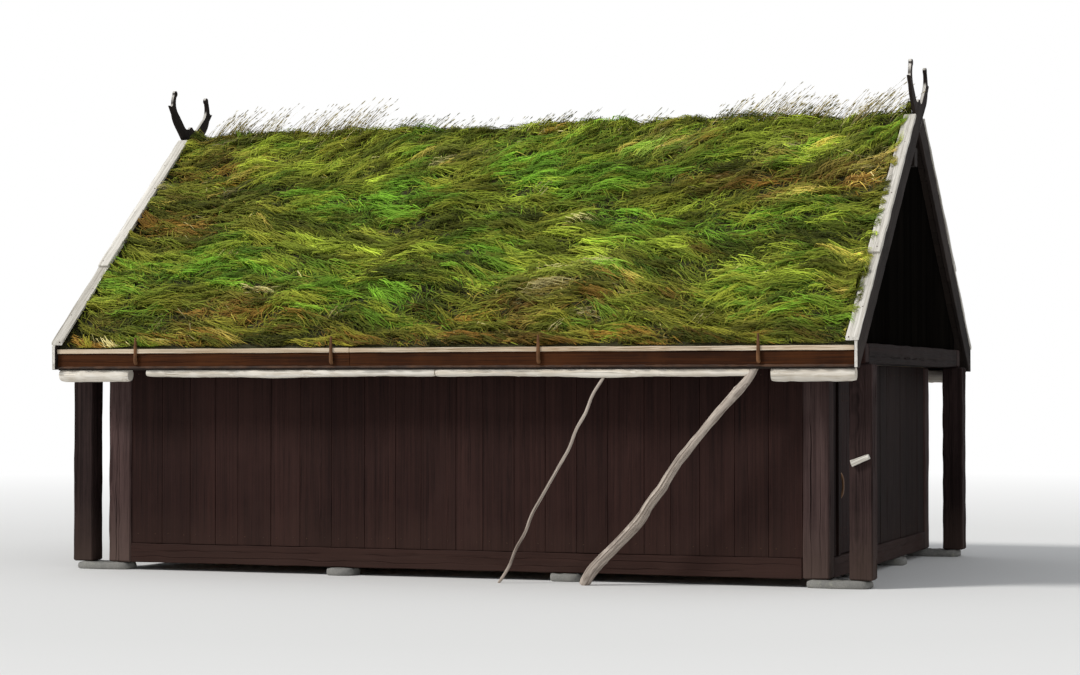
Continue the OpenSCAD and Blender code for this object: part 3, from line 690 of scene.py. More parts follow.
# The porch beams take the darker tar, a painted shade of the overhang.
hewn("porch_beams_hewn", (("porch_beams", "y", 240, 3),), shaded_tar, "tarred_wood", chamfer=0.012)
for node, along, seed in (
    ("tie_beams", "y", 250), ("king_posts", "z", 260), ("ridge_beam", "x", 270),
    ("rafters_front", "slope", 280), ("rafters_back", "slope", 290),
):
    dress(node, along, seed, bare_pine, "inside_wood")

# Porch posts: squared pine posts under the corners of each gable overhang, on the same long stones
# as the corner posts, weathered grey-brown and deeply checked, and coloured darker as painted shade of the
# overhang.

# Darker than the corner posts: painted shade of the overhang.
porch_brown_shaded = wood(
    "porch_post", colour(24, 16, 15), colour(55, 41, 39), weather=colour(73, 57, 55), worn=0.35,
    knots=0.5, rough=(0.7, 0.92), relief=0.0025, splash=colour(76, 62, 55), gloss=0.1,
)
porch_posts = (("porch_posts", "z", 310, 6),)
hewn("porch_posts_hewn", porch_posts, porch_brown_shaded, "post_wood", chamfer=0.014, widest=0.009)

# Gables: upright boards that close each gable above the tie beam, tarred red-brown over the walls behind them
# and black in the pediments at the overhang, whose black is deepened as painted shade of the overhang.

ROOF_BOARD = 0.03
ridge_low, ridge_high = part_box("ridge_beam")


def gable_boards(node, widths, seed):
    """Boards under both slopes, cut round the ridge beam, for each gable that the node has."""
    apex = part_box("roof_boards_front")[1].z - ROOF_BOARD / math.cos(PITCH)
    beside = ridge_high.y
    draw = np.random.default_rng(seed)
    parts = []
    for solid in solids_of(node):
        low, high = solid.min(0), solid.max(0)
        cuts = uneven(draw, beside, high[1], widths)
        spans = [(-beside, 0.0), (0.0, beside)] + list(zip(cuts, cuts[1:]))
        spans += [(-b, -a) for a, b in zip(cuts, cuts[1:])]
        for k, (y0, y1) in enumerate(spans):
            under_beam = [ridge_low.z, ridge_low.z]
            tops = under_beam if k < 2 else [apex - abs(y) * math.tan(PITCH) for y in (y0, y1)]
            back = draw.uniform(0, 0.006)
            x0, x1 = (low[0], high[0] - back) if low[0] > 0 else (low[0] + back, high[0])
            board_seed = int(draw.integers(1 << 30))
            parts.append(sloped_board(x0, x1, y0 + GROOVE, y1 - GROOVE, low[2], tops, board_seed))
    return parts


def sloped_board(x0, x1, y0, y1, foot, tops, seed):
    """An upright board with a raking top, its long arrises eased."""
    ease, levels = 0.003, 7
    draw = np.random.default_rng(seed)
    rows = []
    for level in np.linspace(0, 1, levels):
        ring = []
        for x, y, side in (
            (x0 + ease, y0, 0), (x1 - ease, y0, 0), (x1, y0 + ease, 0), (x1, y1 - ease, 1),
            (x1 - ease, y1, 1), (x0 + ease, y1, 1), (x0, y1 - ease, 1), (x0, y0 + ease, 0),
        ):
            share = (y - y0) / (y1 - y0)
            top = tops[0] * (1 - share) + tops[1] * share
            ring.append((x, y, foot + (top - foot) * level))
        rows.append(ring)
    points = np.array(rows).reshape(-1, 3)
    middle = (x0 + x1) / 2
    points[:, 0] -= np.sign(points[:, 0] - middle) * 0.0015 * (0.5 + 0.5 * waver(points, 0.3, seed))
    pith_x, pith_y = middle + draw.uniform(-0.2, 0.2), (y0 + y1) / 2 + draw.uniform(-0.2, 0.2)
    pith = np.array([pith_x, pith_y, draw.uniform(-9, 9)])
    return points, skin(levels, 8), points - pith, draw.uniform()


# Black tar for the pediments, made darker still as painted shade of the overhang.
tar_black_and_shade = wood(
    "black_tar", colour(5, 4, 3), colour(15, 13, 11), weather=colour(22, 19, 16), worn=0.3,
    knots=0.3, rough=(0.75, 0.95), gloss=0.0,
)
make_piece("gable_peak_boards", gable_boards("gable_peaks", 9, 320), tarred, ["gable_peaks"])
make_piece("pediment_boards", gable_boards("pediments", 9, 330), tar_black_and_shade, ["pediments"])

# Roof boards and bark: rough pine boards along the rafters' backs, darker where they pass the walls as
# painted shade of the overhang, and overlapping sheets of birch bark, whose ragged, stained edges show under
# the eave boards.

front_deck_low, front_deck_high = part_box("roof_boards_front")
slope_run = EAVE_Y / math.cos(PITCH)
ROOF_JOINTS = (-2.4, -1.2, 0.0, 1.2, 2.4)
ROOF_ROWS = 20


def on_slope(x, up, out, side=-1):
    """A point of a slope: x, distance up it from the eave and height square to it; side is -1 in front."""
    y = -EAVE_Y + up * math.cos(PITCH) - out * math.sin(PITCH)
    z = EAVE_Z + up * math.sin(PITCH) + out * math.cos(PITCH)
    return np.stack([x + 0 * y, -side * y, z], -1)


def facing(faces, kept):
    """Faces as they are, or turned inside out."""
    return faces if kept else [face[::-1] for face in faces]


def roof_boards(side, seed):
    """Boards that lie along the house, each in two lengths butted over a rafter."""
    draw = np.random.default_rng(seed)
    parts = []
    for row in range(ROOF_ROWS):
        up0, up1 = (slope_run * k / ROOF_ROWS for k in (row, row + 1))
        joint = ROOF_JOINTS[int(draw.integers(len(ROOF_JOINTS)))]
        for x0, x1 in ((front_deck_low.x, joint), (joint, front_deck_high.x)):
            size = (up1 - up0 - 4 * GROOVE, ROOF_BOARD, x1 - x0 - 2 * JOINT)
            details = {"chamfer": 0.002, "hew": 0.001, "step": 0.7}
            points, faces, grain, tint = squared(*size, int(draw.integers(1 << 30)), **details)
            up, out = up0 + 2 * GROOVE + points[:, 0], points[:, 1] - ROOF_BOARD
            placed = on_slope(x0 + JOINT + points[:, 2], up, out, side)
            if row == ROOF_ROWS - 1:
                placed[:, 1] = side * np.maximum(side * placed[:, 1], 0)
            if row == 0:
                placed[:, 1] = np.clip(placed[:, 1], -EAVE_Y, EAVE_Y)
            parts.append((placed, facing(faces, side < 0), grain, tint))
    return parts


make_piece("roof_boards_front_laid", roof_boards(-1, 340), bare_pine, ["roof_boards_front"])
make_piece("roof_boards_back_laid", roof_boards(1, 350), bare_pine, ["roof_boards_back"])


STAIN_Y, STAIN_WIDE = 2.94, 0.05


def birch_bark():
    """Flecked bark, stained brown along the eave, where it is wet and shows."""
    finish, tree, shader = new_finish("birch_bark")
    places = places_of(tree)
    fleck = ramp(tree, noise(tree, places, 1.0, (30, 160, 160), 3.0), 0.38, 0.46, 1.0, 0.0)
    patch = noise(tree, places, 6.0, detail=5.0)
    share = ramp(tree, patch, 0.35, 0.65)
    base = blend(tree, share, colour(150, 122, 92), colour(206, 188, 160))
    base = blend(tree, scaled(tree, fleck, 0.8), base, colour(58, 44, 36))
    from_ridge = reckon(tree, "ABSOLUTE", number_of(tree, places, 1))
    stained = blend(tree, share, colour(44, 26, 15), colour(82, 54, 34))
    wet = ramp(tree, scaled(tree, from_ridge, 1 / STAIN_WIDE, -STAIN_Y / STAIN_WIDE), 0.0, 1.0)
    base = blend(tree, wet, base, stained)
    surface(tree, shader, base, ramp(tree, patch, 0.2, 0.8, 0.6, 0.85), fleck, 0.4, 0.002)
    return finish


BARK, INSET = 0.012, 0.0005
BARK_STATIONS = 260


def bark_layer(side, seed):
    """One slope's bark: a lapped layer whose lower edge is ragged and stands out a little at the eave."""
    x = np.linspace(front_deck_low.x, front_deck_high.x, BARK_STATIONS)
    spots = np.stack([x, 0 * x], 1)
    ragged = 0.009 + 0.007 * waver(spots, 0.13, seed) + 0.004 * waver(spots, 0.03, seed + 1)
    low, high, half, ridge = INSET, BARK - INSET, slope_run * 0.5, slope_run - HAIR
    rows = []
    for up, out in (
        (0.0, low), (half, low), (ridge, low), (ridge, high), (half, high), (0.06, high), (0.0, high - INSET),
    ):
        placed = on_slope(x, np.full(len(x), up), np.full(len(x), out), side)
        if up == 0.0:
            placed[:, 1] += side * (ragged if out > low else ragged - 0.004)
            placed[:, 2] -= 0.25 * ragged
        rows.append(placed)
    points = np.stack(rows, 1).reshape(-1, 3)
    return [(points, facing(skin(len(x), len(rows)), side < 0), points, 0.5)]


bark = birch_bark()
make_piece("birch_bark_front_laid", bark_layer(-1, 360), bark, ["birch_bark_front"])
make_piece("birch_bark_back_laid", bark_layer(1, 370), bark, ["birch_bark_back"])

# Eave logs: barked crooked trunks under the edge of the roof boards, bleached pale grey. A short
# thick one, hewn to a blunt end, lies at each corner and a slender one runs on from it.


def line_of(solid, axis, stations):
    """Middle points and radii of a round timber's solid at stations along an axis."""
    low, high = solid[:, axis].min(), solid[:, axis].max()
    span = (high - low) / stations
    middles, radii = [], []
    for k in range(stations + 1):
        at = low + span * k
        near = solid[np.abs(solid[:, axis] - at) <= span * 0.75]
        if len(near) < 4:
            continue
        middles.append((near.min(0) + near.max(0)) / 2)
        middles[-1][axis] = at
        radii.append((near.max(0) - near.min(0)) / 2)
    return np.array(middles), np.array(radii)


def barked_pole(
    middles, radii, seed, across=28, step=0.04, rough=0.0015, knots=0, cracks=2, widest=0.005, limit=None
):
    """A barked round timber swept along middle points: a wavering skin, knots and long drying cracks."""
    draw = np.random.default_rng(seed)
    reach = np.concatenate([[0], np.cumsum(np.linalg.norm(np.diff(middles, axis=0), axis=1))])
    length = reach[-1]
    at = np.linspace(0, length, max(6, int(length / step)))
    line = np.stack([np.interp(at, reach, middles[:, k]) for k in range(3)], 1)
    for _ in range(6):
        line[1:-1] = 0.25 * line[:-2] + 0.5 * line[1:-1] + 0.25 * line[2:]
    heading = np.gradient(line, axis=0)
    heading /= np.linalg.norm(heading, axis=1)[:, None]
    side = np.cross(heading, (0.0, 1.0, 0.0) if abs(heading[0][1]) < 0.9 else (1.0, 0.0, 0.0))
    side /= np.linalg.norm(side, axis=1)[:, None]
    other = np.cross(heading, side)
    radius, place = np.interp(at, reach, radii)[:, None], at[:, None]
    angle = 2 * np.pi * np.arange(across) / across
    flat = np.stack(np.broadcast_arrays(radius * np.cos(angle), radius * np.sin(angle), place * 0.5), -1)
    bumps = 0.5 * waver(flat, 0.09, seed) + 0.5 * waver(flat * np.array([1, 1, 0.4]), 0.035, seed + 1)
    spread = radius - 2 * rough + rough * bumps
    for _ in range(knots):
        z0, a0 = draw.uniform(0.04, 0.96) * length, draw.uniform(0, 2 * np.pi)
        off = (np.angle(np.exp(1j * (angle - a0))) * radius) ** 2 + (place - z0) ** 2
        swelling = 0.16 * radius * np.exp(-off / (0.3 * radius) ** 2)
        spread = spread + swelling - 0.05 * radius * np.exp(-off / (0.12 * radius) ** 2)
    for _ in range(cracks):
        column = int(draw.integers(across))
        z0, z1 = np.sort(draw.uniform(0, 1, 2)) * length
        open_share = np.sin(np.pi * np.clip((at - z0) / max(z1 - z0, 0.2), 0, 1)) ** 0.6
        spread[:, column] -= 2.4 * widest * open_share
    rim = np.cos(angle)[:, None] * side[:, None] + np.sin(angle)[:, None] * other[:, None]
    points = line[:, None] + spread[..., None] * rim
    for end in (0, -1):
        points[end] = line[end] + 0.88 * (points[end] - line[end])
    points = points.reshape(-1, 3)
    if limit:
        points = limit(points)
    grain = np.stack(np.broadcast_arrays(spread * np.cos(angle), spread * np.sin(angle), place), -1)
    grain = grain.reshape(-1, 3) + np.array([0, 0, draw.uniform(-9, 9)])
    return points, skin(len(at), across), grain, draw.uniform()


def below_roof_boards(points):
    """Flattens the upper side of a log where the roof boards bear on it."""
    level = EAVE_Y - np.abs(points[:, 1])
    top = EAVE_Z + level * math.tan(PITCH) - (ROOF_BOARD + INSET) / math.cos(PITCH)
    points = points.copy()
    points[:, 2] = np.minimum(points[:, 2], top)
    return points


pale_wood = wood(
    "pale_weathered_wood", colour(146, 139, 126), colour(250, 246, 237), weather=colour(210, 206, 197), worn=0.35,
    knots=0.75, rough=(0.7, 0.95), relief=0.0022, gloss=0.15, vary=0.3,
)
white_wood = wood(
    "peeled_log", colour(202, 190, 171), colour(250, 244, 233), weather=colour(228, 221, 208), worn=0.4,
    knots=0.7, rough=(0.7, 0.95), relief=0.0025, gloss=0.15, vary=0.2,
)


def poles_for(node, axis, stations, seed, **details):
    """A barked pole for each solid of a node, which runs along an axis."""
    parts = []
    for k, solid in enumerate(solids_of(node)):
        middles, radii = line_of(solid, axis, stations)
        parts.append(barked_pole(middles, radii[:, 1], seed + 17 * k, **details))
    return parts


for node, seed, details in (
    ("hewn_eave_logs", 400, {"knots": 3, "cracks": 3, "across": 32, "rough": 0.003}),
    ("slender_eave_logs", 440, {"knots": 9, "cracks": 5, "rough": 0.002}),
):
    logs = poles_for(node, 0, 18, seed, limit=below_roof_boards, **details)
    make_piece(node + "_barked", logs, white_wood, [node])

# Eave boards and laths: a brown oiled board that holds the foot of the turf on each side, with a
# pale lath nailed along its upper edge and natural crooks that hook over the board.

eave_brown = wood(
    "eave_brown", colour(20, 9, 4), colour(68, 35, 13), weather=colour(92, 52, 22), worn=0.4,
    knots=0.6, rough=(0.65, 0.88), relief=0.0015, gloss=0.1,
)
EAVE_BOARD, BOARD_FOOT, BOARD_JOINT = 0.04, 0.016, 0.9
eave_low, eave_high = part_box("eave_boards")
lath_low, lath_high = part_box("eave_laths")
board_parts, lath_parts = [], []
for side in (-1, 1):
    joint = BOARD_JOINT * side
    inner, outer = sorted((side * (EAVE_Y - EAVE_BOARD), side * EAVE_Y))
    lath_y = (lath_low.y, EAVE_BOARD - EAVE_Y) if side < 0 else (EAVE_Y - EAVE_BOARD, lath_high.y)
    for k, (x0, x1) in enumerate(((eave_low.x, joint), (joint, eave_high.x))):
        details = {"along": "x", "chamfer": 0.004, "widest": 0.003}
        low, high = (x0 + JOINT, inner, EAVE_Z + BOARD_FOOT), (x1 - JOINT, outer, eave_high.z)
        board_parts.append(laid(low, high, seed=500 + k + 10 * side, hew=0.002, cracks=3, **details))
        low, high = (x0 + JOINT, lath_y[0], lath_low.z), (x1 - JOINT, lath_y[1], lath_high.z)
        lath_parts.append(laid(low, high, seed=520 + k + 10 * side, hew=0.003, cracks=2, **details))
make_piece("eave_boards_nailed", board_parts, eave_brown, ["eave_boards"])
lath_pale = wood(
    "lath_pale", colour(136, 112, 82), colour(232, 218, 196), weather=colour(182, 156, 124), worn=0.5,
    knots=0.6, rough=(0.7, 0.95), relief=0.002, gloss=0.12, vary=0.2,
)
make_piece("eave_laths_nailed", lath_parts, lath_pale, ["eave_laths"])

hook_brown = wood("hook_brown", colour(70, 44, 26), colour(120, 84, 54), knots=0.6, rough=(0.6, 0.9))
HOOK_FACE, HOOK_LIES = EAVE_Y + 0.0225, 0.036
HOOK_RUN, HOOK_RISE = (0.41, 0.25, 0.10, 0.0), (2.13, 2.2, 2.3)
HOOK_RADII = np.array([0.02, 0.021, 0.022, 0.0225, 0.022, 0.021, 0.018, 0.012])
hook_parts = []
for k, solid in enumerate(solids_of("eave_hooks")):
    low, high = solid.min(0), solid.max(0)
    side = -1 if low[1] < 0 else 1
    x = (low[0] + high[0]) / 2
    path = [on_slope(*np.array([[x], [up], [HOOK_LIES]]), side)[0] for up in HOOK_RUN]
    path += [np.array([x, side * HOOK_FACE, z]) for z in (*HOOK_RISE, high[2])]
    details = {"across": 16, "step": 0.02, "rough": 0.001, "knots": 2, "cracks": 1, "widest": 0.002}
    hook_parts.append(barked_pole(np.array(path), HOOK_RADII, 540 + k, **details))
make_piece("eave_hooks_crooked", hook_parts, hook_brown, ["eave_hooks"])

# Turf: sods laid on the bark in a lumpy blanket, with their grass grown long, combed over by wind
# and rain, and matted in locks of green, olive and straw. Dry stalks stand along the crest.

TURF_EDGE, TURF_VERGE, TURF_FULL, TURF_LUMP, CREST = 0.140, 0.184, 0.242, 0.032, 0.12
LONG_WAVE = 1.9
MAT, THIN_MAT = 0.058, 0.012
CAP_X = 4.12
TURF_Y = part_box("turf_front")[0].y
RIDGE_Z = EAVE_Z + EAVE_Y * math.tan(PITCH)
TURF_X = front_deck_high.x


def eased(share):
    """A share from 0 to 1 that starts and ends softly."""
    share = np.clip(share, 0, 1)
    return share * share * (3 - 2 * share)


def swell(run, turn):
    """One of the long waves in the turf."""
    return np.sin(2 * math.pi * run / LONG_WAVE + math.radians(turn))


def turf_surface(x, y, side):
    """Height of the soil at level distance y from the ridge, under the mat of grass that covers it."""
    y = np.abs(y)
    from_eave, from_end = np.abs(TURF_Y) - y, TURF_X - np.abs(x)
    full = TURF_VERGE + (TURF_FULL - TURF_VERGE) * eased((CAP_X - np.abs(x)) / 0.42)
    lumps = 0.5 * swell(x - 0.6 * y, 20) + 0.3 * swell(2.5 * x + 1.1 * y, 40)
    lumps = lumps + 0.3 * swell(0.5 * x - 2.3 * y, -20) - 0.7
    lumps = TURF_LUMP * lumps * eased(from_end / 0.5) * eased(from_eave / 0.3)
    small = 0.008 * (1 + waver(np.stack([x, y * side], -1), 0.35, 802 + side))
    mat = THIN_MAT + (MAT - THIN_MAT) * eased(from_eave / 0.3) * eased(from_end / 0.3)
    mat = mat + small * eased(from_end / 0.2)
    out = BARK + TURF_EDGE + (full - TURF_EDGE) * eased(from_eave / 0.7) + lumps - mat
    return RIDGE_Z - np.sqrt(y * y + CREST * CREST) * math.tan(PITCH) + out / math.cos(PITCH)


def turf_soil():
    """Dark soil with matted roots and crumbs."""
    finish, tree, shader = new_finish("turf_soil")
    places = places_of(tree)
    patch = noise(tree, places, 3.0, detail=6.0, roughness=0.65)
    crumb = noise(tree, places, 60.0, detail=4.0)
    base = blend(tree, ramp(tree, patch, 0.35, 0.65), colour(36, 36, 13), colour(62, 62, 24))
    base = blend(tree, ramp(tree, crumb, 0.5, 0.75, 0.0, 0.6), base, colour(70, 54, 32))
    surface(tree, shader, base, ramp(tree, crumb, 0.2, 0.8, 0.85, 1.0), crumb, 0.8, 0.01)
    return finish


SOD_COLUMNS, SOD_ROWS = 120, 56


def sods(side):
    """The blanket of turf on one slope, as one closed skin."""
    y = side * np.linspace(abs(TURF_Y) - INSET, 0.0, SOD_ROWS)
    ends = y[[-1, 0]]
    bed = RIDGE_Z - np.abs(ends) * math.tan(PITCH) + (BARK + INSET) / math.cos(PITCH)
    rings = []
    for at in np.linspace(-TURF_X + INSET, TURF_X - INSET, SOD_COLUMNS):
        across = np.full(SOD_ROWS, at)
        top = np.stack([across, y, turf_surface(across, y, side)], 1)
        rings.append(np.concatenate([top, np.stack([np.full(2, at), ends, bed], 1)]))
    points = np.concatenate(rings)
    return [(points, facing(skin(SOD_COLUMNS, SOD_ROWS + 2), side > 0), points, 0.5)]


soil = turf_soil()
make_piece("turf_front_sods", sods(-1), soil, ["turf_front"], sharp=60)
make_piece("turf_back_sods", sods(1), soil, ["turf_back"], sharp=60)

GRASSES = np.array([colour(*tone)[:3] for tone in (
    (76, 92, 24), (112, 164, 44), (164, 182, 58), (132, 132, 42),
    (192, 166, 80), (234, 218, 158), (146, 94, 40),
)])


def grass_finish():
    """Blades in their own colours, a little mottled and not glossy."""
    finish, tree, shader = new_finish("grass_blades")
    blade = add(tree, "Attribute", {"attribute_name": "blade"}).outputs["Color"]
    mottle = noise(tree, places_of(tree), 14.0, detail=3.0)
    base = blend(tree, ramp(tree, mottle, 0.3, 0.7, 0.0, 0.2), blade, colour(108, 120, 38))
    surface(tree, shader, base, ramp(tree, mottle, 0.2, 0.8, 0.65, 0.85))
    shader.inputs["Specular IOR Level"].default_value = 0.15
    return finish


def patch_of(x, up, spots):
    """Share from 0 to 1 of soft patches.

    Each patch is a place, a reach along the house and up the slope, and a strength."""
    share = 0 * x
    for at_x, at_up, reach_x, reach_up, strength in spots:
        share = share + strength * np.exp(-(((x - at_x) / reach_x) ** 2) - ((up - at_up) / reach_up) ** 2)
    return np.clip(share, 0, 1)


LUSH = (
    (1.0, 2.75, 0.75, 0.3, 1.0), (0.3, 3.15, 0.6, 0.3, 0.6), (2.7, 1.85, 0.8, 0.2, 1.0),
    (1.6, 2.1, 0.6, 0.2, 0.7), (0.0, 1.5, 0.5, 0.3, 0.6), (-1.4, 2.4, 0.9, 0.35, 0.9),
    (-2.9, 1.3, 0.8, 0.3, 0.8), (-0.8, 0.9, 0.6, 0.25, 0.5),
)
LIMY = (
    (1.8, 2.25, 0.6, 0.2, 0.8), (3.3, 3.35, 0.9, 0.35, 1.0), (2.5, 3.5, 0.5, 0.25, 0.6),
    (0.2, 2.5, 0.6, 0.5, 0.7), (1.1, 1.5, 0.8, 0.3, 0.6), (3.4, 0.9, 0.9, 0.5, 0.4),
    (-2.2, 3.1, 0.8, 0.35, 0.8), (-1.9, 1.6, 0.8, 0.3, 0.6),
)
RUSTY = (
    (3.7, 2.65, 0.65, 0.2, 1.0), (2.5, 2.65, 0.7, 0.15, 0.9), (1.7, 2.95, 0.3, 0.1, 0.5),
    (0.9, 0.7, 0.9, 0.3, 0.35), (0.5, 0.12, 1.1, 0.18, 0.8), (-3.3, 3.2, 0.7, 0.25, 0.8),
    (-2.3, 0.6, 0.9, 0.25, 0.5), (-3.7, 2.1, 0.5, 0.25, 0.6),
)
STRAWY = (
    (1.75, 3.4, 0.4, 0.2, 0.9), (3.9, 2.85, 0.35, 0.25, 0.7), (3.2, 2.3, 0.3, 0.08, 0.8),
    (1.6, 3.05, 0.15, 0.05, 0.9), (0.9, 1.1, 0.9, 0.35, 0.55), (3.4, 3.2, 0.8, 0.25, 0.4),
    (-0.6, 3.3, 0.5, 0.2, 0.7), (-3.2, 2.6, 0.5, 0.15, 0.6),
)
# Patches of painted shade in the hollows between tussocks: darker greens and less light.
SHADED = (
    (0.2, 2.1, 0.45, 0.25, 1.0), (2.3, 2.85, 0.5, 0.12, 0.8), (3.8, 1.6, 0.5, 0.25, 0.6),
    (2.2, 2.45, 0.5, 0.08, 0.6), (-2.0, 2.0, 0.5, 0.2, 0.8), (-0.4, 1.2, 0.5, 0.15, 0.6),
)


def hues(x, y, side, draw):
    """Grass colours at some places: soft patches of green, lime, straw and red-brown, with painted light and
    shade.
    """
    spots = np.stack([x, y], -1)
    up = (EAVE_Y - np.abs(y)) / math.cos(PITCH)
    kinds = (LUSH, LIMY, RUSTY, STRAWY, SHADED)
    lush, limy, rusty, strawy, shaded = (patch_of(-side * x, up, kind) for kind in kinds)
    fresh = np.clip(0.26 + 0.26 * waver(spots, 1.3, 820 + side) + lush - rusty, 0, 1)
    lime = np.clip(0.36 + 0.3 * waver(spots, 1.1, 834 + side) + limy - 0.6 * lush, 0, 1)
    dry = np.clip(0.2 + 0.2 * waver(spots, 0.9, 830 + side) + strawy + 0.3 * rusty - lush, 0, 1)
    fringe = eased((0.5 - up) / 0.5)
    rust = np.clip(0.08 * waver(spots, 0.8, 836 + side) + rusty + 0.4 * fringe - lush, 0, 1)
    greens = (0.4 + 0.8 * shaded, 2.4 * fresh**2, 1.8 * lime**2, 0.8 + 0 * x)
    weights = np.stack([*greens, dry**2, 0.7 * dry**3, 1.5 * rust], -1)
    weights /= weights.sum(-1, keepdims=True)
    pick = (draw.random(len(x))[:, None] > np.cumsum(weights, -1)).sum(-1).clip(0, 6)
    # Painted light and shade: broad lighter and darker patches for the shading of the tussocks, lighter in
    # lime and lush patches, painted shade in the shaded hollows, and darker towards the eave.
    light = 1.06 + 0.3 * waver(spots, 0.9, 822 + side) + 0.46 * waver(spots, 0.36, 824 + side)
    light = light + 0.25 * limy + 0.15 * lush - 0.5 * shaded - 0.25 * fringe
    shade = draw.uniform(0.55, 1.45, len(x)) * np.clip(light, 0.25, 1.9)
    return (0.6 * GRASSES[pick] + 0.4 * (weights @ GRASSES)) * shade[:, None]


ROOT_DEPTH = 0.012
BLADE_ROWS = ((0.0, 0.9), (0.34, 1.0), (0.68, 0.7), (1.0, 0.0))
HEAD_ROWS = ((0.0, 0.3), (0.35, 1.0), (0.7, 0.8), (1.0, 0.0))
LOWEST_LOCK, LOWEST_ROOT, LOWEST_BEND, LOWEST_TIP = 2.93, 2.945, 2.95, 2.965


def bent(x, y, side, angle, length, rise, width, curl, draw, stiff=False):
    """Seven points for each blade: it rises from its root in the turf and bends over along an angle."""
    phi = np.arctan(math.tan(PITCH) * np.abs(y) / np.sqrt(y * y + CREST * CREST))
    up = np.stack([0 * x, -side * np.cos(phi), np.sin(phi)], 1)
    out = np.stack([0 * x, side * np.sin(phi), np.cos(phi)], 1)
    level = np.tile([1.0, 0.0, 0.0], (len(x), 1))
    way = np.cos(angle)[:, None] * level + np.sin(angle)[:, None] * up
    beside = -np.sin(angle)[:, None] * level + np.cos(angle)[:, None] * up
    y_root = side * np.abs(y)
    root = np.stack([x, y_root, turf_surface(x, y_root, side) - ROOT_DEPTH], 1)
    twist = draw.normal(0, 0.45, len(x))
    flat = np.cos(twist)[:, None] * beside + np.sin(twist)[:, None] * out
    rows = []
    for t, share in BLADE_ROWS:
        forward, height = t**1.7, t
        if not stiff:
            forward, height = 1.05 * t**1.25, (t > 0) * np.sin(np.pi * (0.06 + 0.86 * t) ** 0.75) ** 0.9
        middle = root + way * (length * forward)[:, None] + beside * (curl * length * t * t)[:, None]
        if not stiff:
            low = np.minimum(np.abs(middle[:, 1]), LOWEST_BEND)
            middle[:, 2] = turf_surface(middle[:, 0], low, side) - ROOT_DEPTH
        middle = middle + out * (rise * height + ROOT_DEPTH * (t > 0))[:, None]
        half = flat * (0.5 * width * share)[:, None]
        rows += [middle - half, middle + half] if share else [middle]
    return np.stack(rows, 1)


upper_caps_at, lower_caps_at = (
    np.concatenate([grain_of(solid, "slope") for solid in solids_of(node)])
    for node in ("verge_caps_upper", "verge_caps_lower")
)


def cap_top(up):
    """Height of the verge caps square to the slope, which falls to the ridge on the upper caps."""
    foot, low, high = upper_caps_at[:, 2].min(), lower_caps_at[:, 1].max(), upper_caps_at[:, 1].max()
    return np.where(up < foot, low, np.interp(up, [foot, slope_run], [high, low]))


def kept_off_caps(points, over):
    """Blades that reach a verge bend up along its cap; those marked over lie a little across the cap."""
    reach = np.abs(points[..., 0])
    past = np.maximum(reach - (CAP_X - 0.012), 0)
    most = np.random.default_rng(895).uniform(0.02, 0.09, (len(points), 1))
    kept = most * (1 - np.exp(-past / most))
    places = grain_of(points.reshape(-1, 3), "slope").reshape(points.shape)
    above = np.clip(cap_top(places[..., 2]) + 0.008 - places[..., 1], 0, 0.2)
    above[:, :2] *= 0.3
    over = over[:, None]
    lift = np.where(over, above * eased((reach - CAP_X + 0.16) / 0.12), 0.5 * past)
    points[..., 0] -= np.where(over, past - kept, past) * np.sign(points[..., 0])
    points[..., 1] += lift * np.where(points[..., 1] < 0, -1, 1) * math.sin(PITCH)
    points[..., 2] += lift * math.cos(PITCH)
    return points


BLADE_CORNERS = np.array([0, 1, 3, 2, 2, 3, 5, 4, 4, 5, 6])
BLADE_FACES = np.array([0, 4, 8])
# Each blade is darker at its root, a painted shade between the locks, and lighter towards its tip.
BLADE_SHADES = np.array([0.35, 0.35, 0.8, 0.8, 1.15, 1.15, 1.35])
BLADE_CELL = np.array([[0.2, 0.1], [0.8, 0.1], [0.2, 0.4], [0.8, 0.4], [0.2, 0.7], [0.8, 0.7], [0.5, 0.95]])


def grown(name, points, hue):
    """A piece of grass from seven points for each blade, which tapers to its tip."""
    for axis in range(3):
        points[..., axis] = np.clip(points[..., axis], cad_box[0][axis] + 0.004, cad_box[1][axis] - 0.004)
    count = len(points)
    order = np.arange(count)[:, None]
    mesh = bpy.data.meshes.new(name)
    mesh.vertices.add(7 * count)
    mesh.vertices.foreach_set("co", points.astype(np.float32).ravel())
    mesh.loops.add(11 * count)
    mesh.loops.foreach_set("vertex_index", (7 * order + BLADE_CORNERS).astype(np.int32).ravel())
    mesh.polygons.add(3 * count)
    mesh.polygons.foreach_set("loop_start", (11 * order + BLADE_FACES).astype(np.int32).ravel())
    mesh.update(calc_edges=True)
    tones = np.ones((count, 7, 4))
    tones[..., :3] = hue[:, None] * BLADE_SHADES[None, :, None]
    store(mesh, "blade", "FLOAT_COLOR", "color", tones)
    cells = int(math.ceil(math.sqrt(count)))
    spot = np.stack([order % cells, order // cells], -1)
    flat = ((spot + BLADE_CELL[BLADE_CORNERS]) / cells).astype(np.float32)
    mesh.uv_layers.new(name="OFBake").data.foreach_set("uv", flat.ravel())
    set_piece(name, mesh, blades_finish)


def combed(x, y, side):
    """The way the grass lies at a place: along the house, up near the crest and down at the eave."""
    spots = np.stack([x, y], -1)
    angle = math.radians(2) + math.radians(17) * waver(spots, 1.7, 840 + side)
    angle = angle + math.radians(12) * waver(spots, 0.6, 842 + side)
    angle = angle + math.radians(30) * eased((1.9 - np.abs(y)) / 1.6)
    return angle - math.radians(20) * eased((np.abs(y) - 2.5) / 0.45)


blades_finish = grass_finish()
LOCK, IN_LOCKS = 30, 0.72
OVER_SHARE, OVER_LOWEST, FREE = 0.45, 2.7, 9.0


